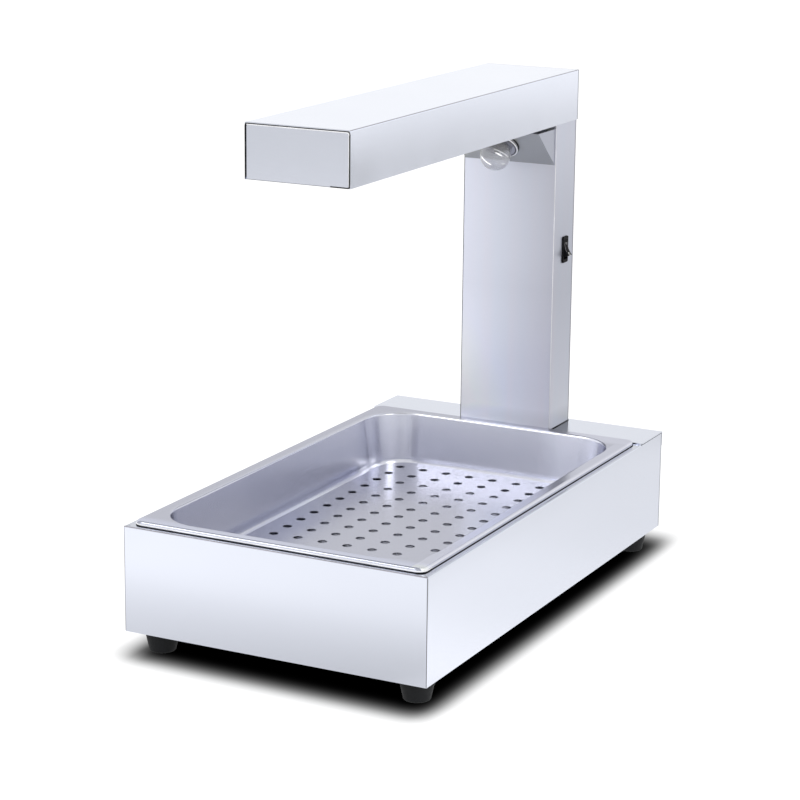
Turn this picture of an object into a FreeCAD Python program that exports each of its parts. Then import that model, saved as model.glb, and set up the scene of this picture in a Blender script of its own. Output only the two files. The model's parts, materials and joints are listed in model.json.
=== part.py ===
import FreeCAD, Part
import math
import os
import Sketcher

# Chip warmer: a food pan in a folded steel base, with a column behind it that
# carries a heated hood and a lamp. All lengths are in millimetres.
# +X is the operator's right, +Y runs from front to rear, +Z is up.
# The origin is on the floor under the middle of the whole outline.

# Driving sizes
SIZES = {
    # sheet metal and fits
    "steel_sheet": 1.0,
    "fold_radius": 1.5,
    "overrun": 2.0,
    "fit_gap": 0.2,
    "hole_gap": 0.2,
    "pin_gap": 0.05,
    # base casing
    "side_margin": 7.5,
    "base_height": 111.0,
    "front_margin": 6.0,
    "rear_margin": 8.0,
    "seat_gap": 0.5,
    "seat_corner": 12.0,
    "rear_return": 14.0,
    "tray_flange": 15.0,
    "shelf_sheet": 1.5,
    "shelf_lip": 15.0,
    "shelf_corner": 3.0,
    "divider_setback": 3.0,
    "divider_flange": 10.0,
    # feet
    "foot_height": 25.0,
    "foot_base_radius": 13.4,
    "foot_top_radius": 18.9,
    "foot_side_inset": 25.0,
    "foot_front_inset": 30.5,
    "foot_rear_inset": 25.0,
    "foot_rounding": 2.0,
    "foot_recess_radius": 8.0,
    "foot_web": 10.0,
    # food pan and its drainer
    "pan_width": 325.0,
    "pan_length": 530.0,
    "pan_depth": 65.0,
    "pan_sheet": 0.8,
    "pan_rim_height": 5.0,
    "pan_rim_gap": 0.6,
    "pan_rim_corner": 10.0,
    "pan_rim_rounding": 2.5,
    "pan_flange": 14.0,
    "pan_bowl_corner": 48.0,
    "pan_lean": 8.0,
    "pan_floor_radius": 12.0,
    "pan_mouth_radius": 3.0,
    "drainer_sheet": 1.0,
    "drainer_height": 12.0,
    "drainer_margin": 14.0,
    "drainer_corner": 36.0,
    "drainer_fold": 1.5,
    "drainer_border": 24.0,
    "drainer_hole_radius": 5.0,
    # column
    "column_gap": 1.0,
    "column_depth": 55.0,
    "column_return": 12.0,
    "column_bolt_inset_x": 16.0,
    "column_bolt_inset_y": 14.0,
    "wire_hole_radius": 12.0,
    "wire_window_width": 56.0,
    "wire_window_below": 24.0,
    "wire_window_above": 50.0,
    "cover_screw_end": 20.0,
    "vent_width": 44.0,
    "vent_slot": 4.0,
    "vent_pitch": 11.0,
    "vent_start": 60.0,
    "cap_screw_rise": 28.0,
    # hood
    "hood_clearance": 352.0,
    "hood_width": 115.0,
    "hood_height": 56.0,
    "hood_setback": 51.0,
    "hood_lip": 12.0,
    "hood_cap_gap": 1.1,
    "hood_cap_flange": 12.0,
    "hood_cap_corner": 2.5,
    "reflector_sheet": 0.8,
    "reflector_start": 16.0,
    "reflector_end": 112.0,
    "reflector_top": 46.0,
    "reflector_shoulder": 14.0,
    "reflector_half_top": 22.0,
    "reflector_half_mouth": 54.0,
    # quartz heaters
    "tube_radius": 6.0,
    "tube_wall": 1.2,
    "tube_spacing": 34.0,
    "tube_height": 24.0,
    "coil_radius": 3.0,
    "ceramic_radius": 8.0,
    "ceramic_length": 22.0,
    "ceramic_socket": 12.0,
    "bracket_sheet": 1.5,
    "bracket_inset": 16.0,
    "bracket_half_width": 27.0,
    "bracket_bottom": 12.0,
    "bracket_shoulder": 37.0,
    "bracket_tab_half": 15.0,
    "bracket_tab_length": 10.0,
    "guard_rod_radius": 1.5,
    "guard_cross_radius": 1.25,
    "guard_half_width": 49.0,
    "guard_end_gap": 6.0,
    "guard_margin": 6.0,
    # lamp
    "lamp_plate_inset": 1.3,
    "lamp_plate_depth": 46.0,
    "lamp_plate_height": 40.5,
    "lamp_plate_drop": 4.3,
    "lamp_tab": 10.0,
    "lamp_hole_radius": 10.5,
    "lamp_ring_radius": 22.0,
    "lamp_ring_bore": 12.5,
    "lamp_ring_height": 4.0,
    "lamp_ring_rounding": 1.4,
    "lamp_holder_radius": 13.5,
    "lamp_holder_length": 32.0,
    "lamp_throat_depth": 8.0,
    "bulb_radius": 17.0,
    "bulb_reach": 16.4,
    "bulb_wall": 0.7,
    "bulb_neck_radius": 6.6,
    "bulb_cone_radius": 13.5,
    "bulb_cone_reach": 10.0,
    "bulb_cap_radius": 6.9,
    "bulb_cap_start": 8.0,
    "bulb_cap_length": 17.0,
    "bulb_tip_radius": 3.0,
    "bulb_tip_length": 2.5,
    "stem_radius": 2.6,
    "stem_reach": 12.0,
    "filament_radius": 0.35,
    "filament_half_length": 7.0,
    # rocker switch
    "switch_height": 207.2,
    "switch_offset": 3.0,
    "bezel_width": 14.0,
    "bezel_length": 30.0,
    "bezel_thickness": 1.8,
    "bezel_corner": 2.0,
    "bezel_rounding": 0.6,
    "switch_body_width": 11.4,
    "switch_body_length": 27.0,
    "switch_body_depth": 22.0,
    "switch_wall": 0.8,
    "switch_end_wall": 2.3,
    "switch_cavity": 9.0,
    "rocker_gap": 0.3,
    "rocker_pivot_depth": 2.0,
    "rocker_reach": 7.2,
    "rocker_half_length": 9.0,
    "rocker_hollow": 2.0,
    "rocker_root": 4.0,
    "rocker_root_half": 6.0,
    "rocker_rounding": 0.5,
    "switch_pin_radius": 1.0,
    "blade_width": 6.3,
    "blade_thickness": 0.8,
    "blade_length": 8.0,
    "blade_pitch": 9.0,
    # wiring and its terminals
    "block_length": 44.0,
    "block_width": 17.0,
    "block_height": 18.0,
    "block_screw_radius": 2.4,
    "block_screw_depth": 5.0,
    "block_pitch": 13.0,
    "base_block_x": 62.0,
    "hood_block_setback": 20.0,
    "harness_radius": 2.8,
    "lead_radius": 1.6,
    "harness_bend": 12.0,
    "harness_run": 25.0,
    "harness_stub": 12.5,
    "lead_bend": 6.0,
    "lead_run": 14.0,
    "lead_stub": 8.0,
    "lead_entry": 9.0,
    "lamp_lead_x": 6.4,
    "heater_lead_x": 9.0,
    "grommet_flange": 2.0,
    "grommet_height": 1.5,
    "grommet_wall": 2.0,
    # cord inlet
    "gland_x": -70.0,
    "gland_z": 52.0,
    "gland_thread_radius": 8.0,
    "gland_thread_length": 10.0,
    "gland_hex_radius": 12.0,
    "gland_hex_length": 5.0,
    "gland_dome_radius": 10.5,
    "gland_dome_length": 15.0,
    "gland_dome_rounding": 3.0,
    "gland_neck_length": 9.0,
    "gland_seal_radius": 6.2,
    "gland_seal_length": 8.0,
    "gland_bore_radius": 4.2,
    "gland_nut_length": 5.0,
    # earth stud
    "earth_x": -30.0,
    "earth_setback": 26.0,
    # screws, bolts and nuts
    "screw_radius": 2.0,
    "screw_head_radius": 3.8,
    "screw_head_height": 2.2,
    "screw_length": 8.0,
    "screw_slot": 0.8,
    "screw_slot_depth": 1.0,
    "bolt_radius": 2.5,
    "bolt_head_radius": 4.8,
    "bolt_head_height": 3.0,
    "foot_bolt_length": 18.0,
    "column_bolt_length": 10.0,
    "nut_radius": 4.6,
    "nut_height": 4.0,
    "panel_screw_rise": 20.0,
    "panel_screw_gap": 6.2,
}

# Shares, angles and counts
lamp_seat_share = 0.60
head_rounding_share = 0.6
head_slot_share = 0.6
cap_pad_low_share = 0.25
cap_pad_high_share = 0.75
rocker_tilt_degrees = 18.0
guard_rod_count = 11
vent_count = 6
drainer_rows = 8
drainer_columns = 15
# a wire is sound when its volume is this near to that of its straightened length
wire_volume_share = 0.01

doc = FreeCAD.newDocument("ChipWarmer")
sheet = doc.addObject("Spreadsheet::Sheet", "Sizes")


class Size:
    """A length that carries its value and the formula that gives it in the sheet."""

    def __init__(self, value, formula):
        self.value = value
        self.formula = formula

    def __add__(self, other):
        other = as_size(other)
        return Size(self.value + other.value, "(" + self.formula + " + " + other.formula + ")")

    def __sub__(self, other):
        other = as_size(other)
        return Size(self.value - other.value, "(" + self.formula + " - " + other.formula + ")")

    def __rsub__(self, other):
        return as_size(other) - self

    def __mul__(self, other):
        other = as_size(other)
        return Size(self.value * other.value, "(" + self.formula + " * " + other.formula + ")")

    def __truediv__(self, other):
        other = as_size(other)
        return Size(self.value / other.value, "(" + self.formula + " / " + other.formula + ")")

    def __neg__(self):
        return Size(-self.value, "(-" + self.formula + ")")

    __radd__ = __add__
    __rmul__ = __mul__


def as_size(number):
    """A plain number as a Size, and a Size as it is."""
    if isinstance(number, Size):
        return number
    return Size(float(number), repr(float(number)))


class Names:
    """Holds each driving size under its name."""


s = Names()
for row, (alias, number) in enumerate(SIZES.items(), start=1):
    sheet.set("A" + str(row), alias)
    sheet.set("B" + str(row), str(number))
    sheet.setAlias("B" + str(row), alias)
    setattr(s, alias, Size(number, "Sizes." + alias))
doc.recompute()

Vector = FreeCAD.Vector
ALONG = {
    "X": FreeCAD.Rotation(Vector(0, 1, 0), 90),
    "Y": FreeCAD.Rotation(Vector(1, 0, 0), -90),
    "Z": FreeCAD.Rotation(),
}
UPSIDE_DOWN = FreeCAD.Rotation(Vector(1, 0, 0), 180)
# an edge lies at a coordinate when it is this near to it
NEAR = SIZES["fit_gap"] / 4

subparts = {}


# Building blocks

def bind(item, path, size):
    """Ties one property to its formula in the sheet."""
    item.setExpression(path, as_size(size).formula)


def place(item, x, y, z, rotation=FreeCAD.Rotation()):
    """Puts an object at a point given in sizes."""
    item.Placement = FreeCAD.Placement(Vector(), rotation)
    bind(item, "Placement.Base.x", x)
    bind(item, "Placement.Base.y", y)
    bind(item, "Placement.Base.z", z)


def new_body(label, x=0, y=0, z=0, rotation=FreeCAD.Rotation(), kept=True):
    """A body of its own, registered under its node's name."""
    body = doc.addObject("PartDesign::Body", label)
    body.Label = label
    place(body, x, y, z, rotation)
    if kept:
        subparts[label] = body
    return body


def box(body, kind, low, high):
    """A block between its low and its high corner."""
    low = [as_size(value) for value in low]
    high = [as_size(value) for value in high]
    block = body.newObject("PartDesign::" + kind + "Box", body.Label + "_box")
    bind(block, "Length", high[0] - low[0])
    bind(block, "Width", high[1] - low[1])
    bind(block, "Height", high[2] - low[2])
    place(block, low[0], low[1], low[2])
    return block


def add_box(body, low, high):
    return box(body, "Additive", low, high)


def cut_box(body, low, high):
    return box(body, "Subtractive", low, high)


def rod(body, kind, start, radius, length, axis):
    """A cylinder from a start point along an axis."""
    cylinder = body.newObject("PartDesign::" + kind + "Cylinder", body.Label + "_rod")
    bind(cylinder, "Radius", radius)
    bind(cylinder, "Height", length)
    place(cylinder, start[0], start[1], start[2], ALONG[axis])
    return cylinder


def add_rod(body, start, radius, length, axis="Z"):
    return rod(body, "Additive", start, radius, length, axis)


def cut_rod(body, start, radius, length, axis="Z"):
    return rod(body, "Subtractive", start, radius, length, axis)


def cone(body, kind, start, low_radius, high_radius, height, axis="Z"):
    """A cone frustum from a start point along an axis."""
    frustum = body.newObject("PartDesign::" + kind + "Cone", body.Label + "_cone")
    bind(frustum, "Radius1", low_radius)
    bind(frustum, "Radius2", high_radius)
    bind(frustum, "Height", height)
    place(frustum, start[0], start[1], start[2], ALONG[axis])
    return frustum


def sphere(body, kind, centre, radius):
    ball = body.newObject("PartDesign::" + kind + "Sphere", body.Label + "_ball")
    bind(ball, "Radius", radius)
    place(ball, centre[0], centre[1], centre[2])
    return ball


def hexagon(body, start, radius, height, axis="Z"):
    """A hexagonal prism, as on nuts and the cord inlet."""
    prism = body.newObject("PartDesign::AdditivePrism", body.Label + "_hexagon")
    prism.Polygon = 6
    bind(prism, "Circumradius", radius)
    bind(prism, "Height", height)
    place(prism, start[0], start[1], start[2], ALONG[axis])
    return prism


def lies_at(edge, **where):
    """Tells if an edge lies at the given coordinates all along."""
    bounds = edge.BoundBox
    spans = {
        "x": (bounds.XMin, bounds.XMax),
        "y": (bounds.YMin, bounds.YMax),
        "z": (bounds.ZMin, bounds.ZMax),
    }
    for axis, value in where.items():
        target = as_size(value).value
        if max(abs(end - target) for end in spans[axis]) > NEAR:
            return False
    return True


def round_edges(body, radius, test):
    """Rounds the edges of a body's present shape that pass a test."""
    doc.recompute()
    last = body.Tip
    names = []
    for number, edge in enumerate(last.Shape.Edges, start=1):
        if test(edge):
            names.append("Edge" + str(number))
    rounding = body.newObject("PartDesign::Fillet", body.Label + "_rounding")
    rounding.Base = (last, names)
    bind(rounding, "Radius", radius)
    return rounding


def origin_item(body, role):
    """The body's own origin plane or axis with a given role."""
    return [item for item in body.Origin.OriginFeatures if item.Role == role][0]


def new_sketch(body, plane, height=0, along=0):
    """A sketch on one of the body's own origin planes, lifted off it and moved along it."""
    sketch = body.newObject("Sketcher::SketchObject", body.Label + "_sketch")
    sketch.AttachmentSupport = (origin_item(body, plane), [""])
    sketch.MapMode = "FlatFace"
    bind(sketch, "AttachmentOffset.Base.y", along)
    bind(sketch, "AttachmentOffset.Base.z", height)
    return sketch


def hold(sketch, kind, *parts):
    """Adds one constraint whose last part is a size."""
    size = parts[-1]
    index = sketch.addConstraint(Sketcher.Constraint(kind, *parts[:-1], size.value))
    bind(sketch, "Constraints[" + str(index) + "]", size)


def outline(sketch, points):
    """A closed outline of straight lines through points given in sizes."""
    points = [(as_size(x), as_size(y)) for x, y in points]
    count = len(points)
    for index in range(count):
        start = Vector(points[index][0].value, points[index][1].value, 0)
        following = points[(index + 1) % count]
        end = Vector(following[0].value, following[1].value, 0)
        sketch.addGeometry(Part.LineSegment(start, end), False)
    for index in range(count):
        sketch.addConstraint(Sketcher.Constraint("Coincident", index, 2, (index + 1) % count, 1))
    for index in range(count):
        hold(sketch, "DistanceX", -1, 1, index, 1, points[index][0])
        hold(sketch, "DistanceY", -1, 1, index, 1, points[index][1])


def rounded_rectangle(sketch, width, length, corner):
    """A rectangle with round corners, centred on the sketch's origin."""
    x = width.value / 2
    y = length.value / 2
    radius = corner.value
    sides = [
        ((radius - x, -y), (x - radius, -y)),
        ((x, radius - y), (x, y - radius)),
        ((x - radius, y), (radius - x, y)),
        ((-x, y - radius), (-x, radius - y)),
    ]
    for start, end in sides:
        sketch.addGeometry(Part.LineSegment(Vector(*start, 0), Vector(*end, 0)), False)
    centres = [(x - radius, radius - y), (x - radius, y - radius), (radius - x, y - radius),
               (radius - x, radius - y)]
    for quarter, (across, along) in enumerate(centres):
        circle = Part.Circle(Vector(across, along, 0), Vector(0, 0, 1), radius)
        begin = math.radians(90 * quarter - 90)
        sketch.addGeometry(Part.ArcOfCircle(circle, begin, begin + math.pi / 2), False)
    for side in range(4):
        sketch.addConstraint(Sketcher.Constraint("Tangent", side, 2, 4 + side, 1))
        sketch.addConstraint(Sketcher.Constraint("Tangent", 4 + side, 2, (side + 1) % 4, 1))
    for side in (0, 2):
        sketch.addConstraint(Sketcher.Constraint("Horizontal", side))
    for side in (1, 3):
        sketch.addConstraint(Sketcher.Constraint("Vertical", side))
    for arc in (5, 6, 7):
        sketch.addConstraint(Sketcher.Constraint("Equal", 4, arc))
    sketch.addConstraint(Sketcher.Constraint("Symmetric", 4, 3, 6, 3, -1, 1))
    hold(sketch, "Radius", 4, corner)
    hold(sketch, "DistanceX", 3, 1, 1, 1, width)
    hold(sketch, "DistanceY", 0, 1, 2, 1, length)


def extrude(body, kind, sketch, length, midplane=False, backwards=False):
    """A pad or a pocket from a sketch."""
    feature = body.newObject("PartDesign::" + kind, body.Label + "_" + kind.lower())
    feature.Profile = sketch
    bind(feature, "Length", length)
    if midplane:
        feature.SideType = "Symmetric"
    feature.Reversed = backwards
    return feature


def loft(body, kind, sections):
    """A ruled loft through sketches."""
    feature = body.newObject("PartDesign::" + kind + "Loft", body.Label + "_loft")
    feature.Profile = sections[0]
    feature.Sections = sections[1:]
    feature.Ruled = True
    return feature


def repeat(body, feature, axis, span, count, cross_axis=None, cross_span=None, cross_count=1):
    """Repeats one feature evenly along one or two axes."""
    pattern = body.newObject("PartDesign::LinearPattern", body.Label + "_pattern")
    pattern.Originals = [feature]
    pattern.Direction = (origin_item(body, axis + "_Axis"), [""])
    bind(pattern, "Length", span)
    pattern.Occurrences = count
    if cross_axis:
        pattern.Direction2 = (origin_item(body, cross_axis + "_Axis"), [""])
        bind(pattern, "Length2", cross_span)
        pattern.Occurrences2 = cross_count
    body.Tip = pattern
    return pattern


def group(label, template, places, rotation=FreeCAD.Rotation()):
    """Copies of one template piece as separate solids of one node."""
    links = []
    for x, y, z in places:
        link = doc.addObject("App::Link", label + "_copy")
        link.LinkedObject = template
        place(link, x, y, z, rotation)
        links.append(link)
    compound = doc.addObject("Part::Compound", label)
    compound.Label = label
    compound.Links = links
    subparts[label] = compound
    return compound


def wire_tube(radius, bend, points):
    """A round wire along straight runs that are joined by tangent arcs."""
    corners = [Vector(*(as_size(value).value for value in point)) for point in points]
    edges = []
    start = corners[0]
    for before, corner, after in zip(corners, corners[1:], corners[2:]):
        back = (before - corner).normalize()
        ahead = (after - corner).normalize()
        turn = math.pi - back.getAngle(ahead)
        reach = bend.value * math.tan(turn / 2)
        entry = corner + back * reach
        leave = corner + ahead * reach
        depth = bend.value / math.cos(turn / 2) - bend.value
        middle = corner + (back + ahead).normalize() * depth
        edges.append(Part.LineSegment(start, entry).toShape())
        edges.append(Part.Arc(entry, middle, leave).toShape())
        start = leave
    edges.append(Part.LineSegment(start, corners[-1]).toShape())
    spine = Part.Wire(edges)
    circle = Part.Circle(corners[0], corners[1] - corners[0], radius.value)
    tube = spine.makePipeShell([Part.Wire([circle.toShape()])], True, True)
    expected = math.pi * radius.value ** 2 * spine.Length
    if abs(tube.Volume / expected - 1) > wire_volume_share:
        raise RuntimeError("a wire did not follow its path")
    return tube


def make_wires(label, radius, bend, paths):
    """One node of wires that have the same size."""
    wires = doc.addObject("Part::Feature", label)
    wires.Label = label
    wires.Shape = Part.makeCompound([wire_tube(radius, bend, points) for points in paths])
    subparts[label] = wires


def corners_of(half_x, half_y, centre_y):
    """The four corner places of a rectangle, left to right and front to rear."""
    return [(side * half_x, centre_y + end * half_y) for end in (-1, 1) for side in (-1, 1)]


# Places that several pieces share

half_base = s.pan_width / 2 + s.side_margin
pan_rear = s.front_margin + s.pan_length
column_start = pan_rear + s.column_gap
column_middle = column_start + s.column_depth / 2
column_end = column_start + s.column_depth
base_length = column_end + s.rear_margin
shell_length = base_length - s.shelf_sheet
gland_projection = s.gland_hex_length + s.gland_dome_length
front = -(shell_length + gland_projection) / 2
deck = s.foot_height + s.base_height
shelf_top = deck + s.shelf_sheet
inner_hood = s.hood_width / 2 - s.steel_sheet
half_column = inner_hood - s.fit_gap
hood_bottom = deck + s.hood_clearance
hood_start = s.hood_setback
hood_length = column_end + s.steel_sheet - hood_start
reflector_length = hood_length - s.reflector_start - s.reflector_end
column_height = s.hood_clearance + s.hood_height - s.steel_sheet - s.fit_gap - s.shelf_sheet
column_bolt_places = corners_of(half_column - s.column_bolt_inset_x,
                                s.column_depth / 2 - s.column_bolt_inset_y, column_middle)
foot_spread = base_length - s.foot_front_inset - s.foot_rear_inset
foot_places = corners_of(half_base - s.foot_side_inset, foot_spread / 2,
                         s.foot_front_inset + foot_spread / 2)
foot_names = ["front_left", "front_right", "rear_left", "rear_right"]
screw_hole = s.screw_radius + s.hole_gap
bolt_hole = s.bolt_radius + s.hole_gap
half_inside = half_base - s.steel_sheet
panel_screw_x = half_inside - s.rear_return / 2
panel_screw_heights = [s.panel_screw_rise,
                       s.base_height - s.shelf_lip - s.panel_screw_gap - s.screw_head_radius]
column_cover_x = half_column - s.steel_sheet - s.column_return / 2
cover_top = s.hood_clearance - s.shelf_sheet - s.fit_gap
cover_screw_heights = [s.cover_screw_end, cover_top / 2, cover_top - s.cover_screw_end]
cap_screw_height = s.hood_clearance - s.shelf_sheet + s.cap_screw_rise
switch_z = s.switch_height - s.shelf_sheet
switch_setback = s.column_depth / 2 + s.switch_offset
pan_floor = s.pan_rim_height - s.pan_depth
seat_overlap = s.pan_flange - s.pan_mouth_radius - s.seat_gap
lamp_slope = math.hypot(s.lamp_plate_depth.value, s.lamp_plate_height.value)
lamp_plate_width = 2 * (half_column - s.lamp_plate_inset)


# Fasteners that are copied into groups

def screw_template(label, radius, length, head_radius, head_height):
    """A cross-slot screw, head up, with its seat at the origin."""
    screw = new_body(label, kept=False)
    add_rod(screw, (0, 0, 0), head_radius, head_height)
    round_edges(screw, head_height * head_rounding_share, lambda edge: lies_at(edge, z=head_height))
    add_rod(screw, (0, 0, -length), radius, length)
    slot_floor = head_height - s.screw_slot_depth
    half_slot = head_radius * head_slot_share
    cut_box(screw, (-half_slot, -s.screw_slot / 2, slot_floor),
            (half_slot, s.screw_slot / 2, head_height + s.overrun))
    cut_box(screw, (-s.screw_slot / 2, -half_slot, slot_floor),
            (s.screw_slot / 2, half_slot, head_height + s.overrun))
    return screw


def nut_template(label, radius, height, hole):
    """A hexagonal nut that stands on the origin."""
    nut = new_body(label, kept=False)
    hexagon(nut, (0, 0, 0), radius, height)
    cut_rod(nut, (0, 0, -s.overrun), hole, height + 2 * s.overrun)
    return nut


panel_screw = screw_template("panel_screw_template", s.screw_radius, s.screw_length,
                             s.screw_head_radius, s.screw_head_height)
foot_bolt = screw_template("foot_bolt_template", s.bolt_radius, s.foot_bolt_length,
                           s.bolt_head_radius, s.bolt_head_height)
column_bolt = screw_template("column_bolt_template", s.bolt_radius, s.column_bolt_length,
                             s.bolt_head_radius, s.bolt_head_height)
plain_nut = nut_template("nut_template", s.nut_radius, s.nut_height, s.bolt_radius + s.pin_gap)


# Base casing

def make_base_shell():
    """Front, sides and the frame that the pan hangs in, folded from one sheet."""
    body = new_body("base_shell", 0, front, s.foot_height)
    add_box(body, (-half_base, 0, 0), (half_base, shell_length, s.base_height))
    round_edges(body, s.fold_radius, lambda edge: (
        lies_at(edge, x=-half_base, y=0) or lies_at(edge, x=half_base, y=0)
        or lies_at(edge, y=0, z=s.base_height)
        or lies_at(edge, x=-half_base, z=s.base_height)
        or lies_at(edge, x=half_base, z=s.base_height)))
    roof = s.base_height - s.steel_sheet
    cut_box(body, (-half_inside, s.steel_sheet, -s.overrun),
            (half_inside, shell_length + s.overrun, roof))
    # the rear panel rests on two returns
    panel_seat = shell_length - s.steel_sheet
    for side in (-1, 1):
        edges = sorted([side * half_inside, side * (half_inside - s.rear_return)],
                       key=lambda size: size.value)
        add_box(body, (edges[0], panel_seat - s.steel_sheet, 0), (edges[1], panel_seat, roof))
        for height in panel_screw_heights:
            cut_rod(body, (side * panel_screw_x, panel_seat - s.steel_sheet - s.overrun, height),
                    screw_hole, s.steel_sheet + 2 * s.overrun, "Y")
    # the opening for the pan, whose flange rests on an upturned collar
    seat_width = s.pan_width - 2 * seat_overlap
    seat_length = s.pan_length - 2 * seat_overlap
    seat_middle = s.front_margin + s.pan_length / 2
    collar_start = s.base_height - s.steel_sheet / 2
    collar_top = s.base_height + s.pan_rim_height - s.pan_sheet
    collar = new_sketch(body, "XY_Plane", collar_start, seat_middle)
    rounded_rectangle(collar, seat_width + 2 * s.steel_sheet, seat_length + 2 * s.steel_sheet,
                      s.seat_corner + s.steel_sheet)
    extrude(body, "Pad", collar, collar_top - collar_start)
    opening = new_sketch(body, "XY_Plane", roof - s.overrun, seat_middle)
    rounded_rectangle(opening, seat_width, seat_length, s.seat_corner)
    extrude(body, "Pocket", opening, collar_top - roof + 2 * s.overrun, backwards=True)
    # wires and column bolts pass through the rear strip
    cut_rod(body, (0, column_middle, roof - s.overrun), s.wire_hole_radius,
            s.steel_sheet + 2 * s.overrun)
    for x, y in column_bolt_places:
        cut_rod(body, (x, y, roof - s.overrun), bolt_hole, s.steel_sheet + 2 * s.overrun)


def make_rear_shelf():
    """The plate behind the pan that the column stands on, with a lip down the back."""
    depth = base_length - column_start
    body = new_body("rear_shelf", 0, front + column_start, deck)
    add_box(body, (-half_base, 0, 0), (half_base, depth, s.shelf_sheet))
    add_box(body, (-half_base, depth - s.shelf_sheet, -s.shelf_lip), (half_base, depth, 0))
    round_edges(body, s.fold_radius, lambda edge: lies_at(edge, y=depth, z=s.shelf_sheet))
    round_edges(body, s.shelf_corner, lambda edge: (
        lies_at(edge, x=-half_base, y=0) or lies_at(edge, x=half_base, y=0)))
    cut_rod(body, (0, column_middle - column_start, -s.overrun), s.wire_hole_radius,
            s.shelf_sheet + 2 * s.overrun)
    for x, y in column_bolt_places:
        cut_rod(body, (x, y - column_start, -s.overrun), bolt_hole,
                s.shelf_sheet + 2 * s.overrun)


def make_base_back_panel():
    """The panel that closes the wiring space, with a hole for the cord inlet."""
    half_width = half_inside - s.fit_gap
    body = new_body("base_back_panel", 0, front + shell_length - s.steel_sheet, s.foot_height)
    add_box(body, (-half_width, 0, 0),
            (half_width, s.steel_sheet, s.base_height - s.steel_sheet - s.fit_gap))
    cut_rod(body, (s.gland_x, -s.overrun, s.gland_z), s.gland_thread_radius + s.hole_gap,
            s.steel_sheet + 2 * s.overrun, "Y")
    for side in (-1, 1):
        for height in panel_screw_heights:
            cut_rod(body, (side * panel_screw_x, -s.overrun, height), screw_hole,
                    s.steel_sheet + 2 * s.overrun, "Y")


def make_base_bottom_plate():
    """The bottom tray, welded inside the casing, that carries the feet."""
    half_width = half_inside - s.fit_gap
    start = s.steel_sheet + s.fit_gap
    end = shell_length - 2 * s.steel_sheet - s.fit_gap
    body = new_body("base_bottom_plate", 0, front, s.foot_height)
    add_box(body, (-half_width, start, 0), (half_width, end, s.tray_flange))
    cut_box(body, (s.steel_sheet - half_width, start + s.steel_sheet, s.steel_sheet),
            (half_width - s.steel_sheet, end - s.steel_sheet, s.tray_flange + s.overrun))
    for x, y in foot_places:
        cut_rod(body, (x, y, -s.overrun), bolt_hole, s.steel_sheet + 2 * s.overrun)
    cut_rod(body, (s.earth_x, column_end - s.earth_setback, -s.overrun), bolt_hole,
            s.steel_sheet + 2 * s.overrun)


def make_well_divider():
    """The wall between the pan's well and the wiring space."""
    half_width = half_inside - s.steel_sheet - 2 * s.fit_gap
    height = s.base_height - 2 * s.steel_sheet - s.fit_gap
    start = pan_rear - seat_overlap + s.divider_setback
    body = new_body("well_divider", 0, front + start, s.foot_height + s.steel_sheet)
    add_box(body, (-half_width, 0, 0), (half_width, s.steel_sheet + s.divider_flange, height))
    cut_box(body, (-half_width - s.overrun, s.steel_sheet, s.steel_sheet),
            (half_width + s.overrun, s.steel_sheet + s.divider_flange + s.overrun,
             height - s.steel_sheet))


def make_foot(name, x, y):
    """A tapered rubber foot with a recess for its screw."""
    body = new_body("foot_" + name, x, front + y, 0)
    cone(body, "Additive", (0, 0, 0), s.foot_base_radius, s.foot_top_radius, s.foot_height)
    round_edges(body, s.foot_rounding, lambda edge: lies_at(edge, z=0))
    cut_rod(body, (0, 0, -s.overrun), s.foot_recess_radius,
            s.foot_height - s.foot_web + s.overrun)
    cut_rod(body, (0, 0, 0), bolt_hole, s.foot_height + s.overrun)


make_base_shell()
make_rear_shelf()
make_base_back_panel()
make_base_bottom_plate()
make_well_divider()
for foot_name, (foot_x, foot_y) in zip(foot_names, foot_places):
    make_foot(foot_name, foot_x, foot_y)
group("foot_screws", foot_bolt,
      [(x, front + y, s.foot_height - s.foot_web) for x, y in foot_places], UPSIDE_DOWN)
group("foot_nuts", plain_nut,
      [(x, front + y, s.foot_height + s.steel_sheet) for x, y in foot_places])
group("back_panel_screws", panel_screw,
      [(side * panel_screw_x, front + shell_length, s.foot_height + height)
       for side in (-1, 1) for height in panel_screw_heights], ALONG["Y"])


# Food pan and drainer

def bowl_section(body, height, outwards):
    """The bowl's outline at a height, grown outwards by a wall."""
    lean = s.pan_lean * (s.pan_rim_height - height) / s.pan_depth
    sketch = new_sketch(body, "XY_Plane", height)
    rounded_rectangle(sketch, s.pan_width - 2 * (s.pan_flange + lean - outwards),
                      s.pan_length - 2 * (s.pan_flange + lean - outwards),
                      s.pan_bowl_corner - lean + outwards)
    return sketch


def by_the_bowl(edge):
    """Tells if an edge lies nearer to the bowl than to the rim's outside."""
    limit_x = (s.pan_width / 2 - s.pan_flange / 2).value
    limit_y = (s.pan_length / 2 - s.pan_flange / 2).value
    bounds = edge.BoundBox
    return (max(abs(bounds.XMin), abs(bounds.XMax)) < limit_x
            and max(abs(bounds.YMin), abs(bounds.YMax)) < limit_y)


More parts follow.
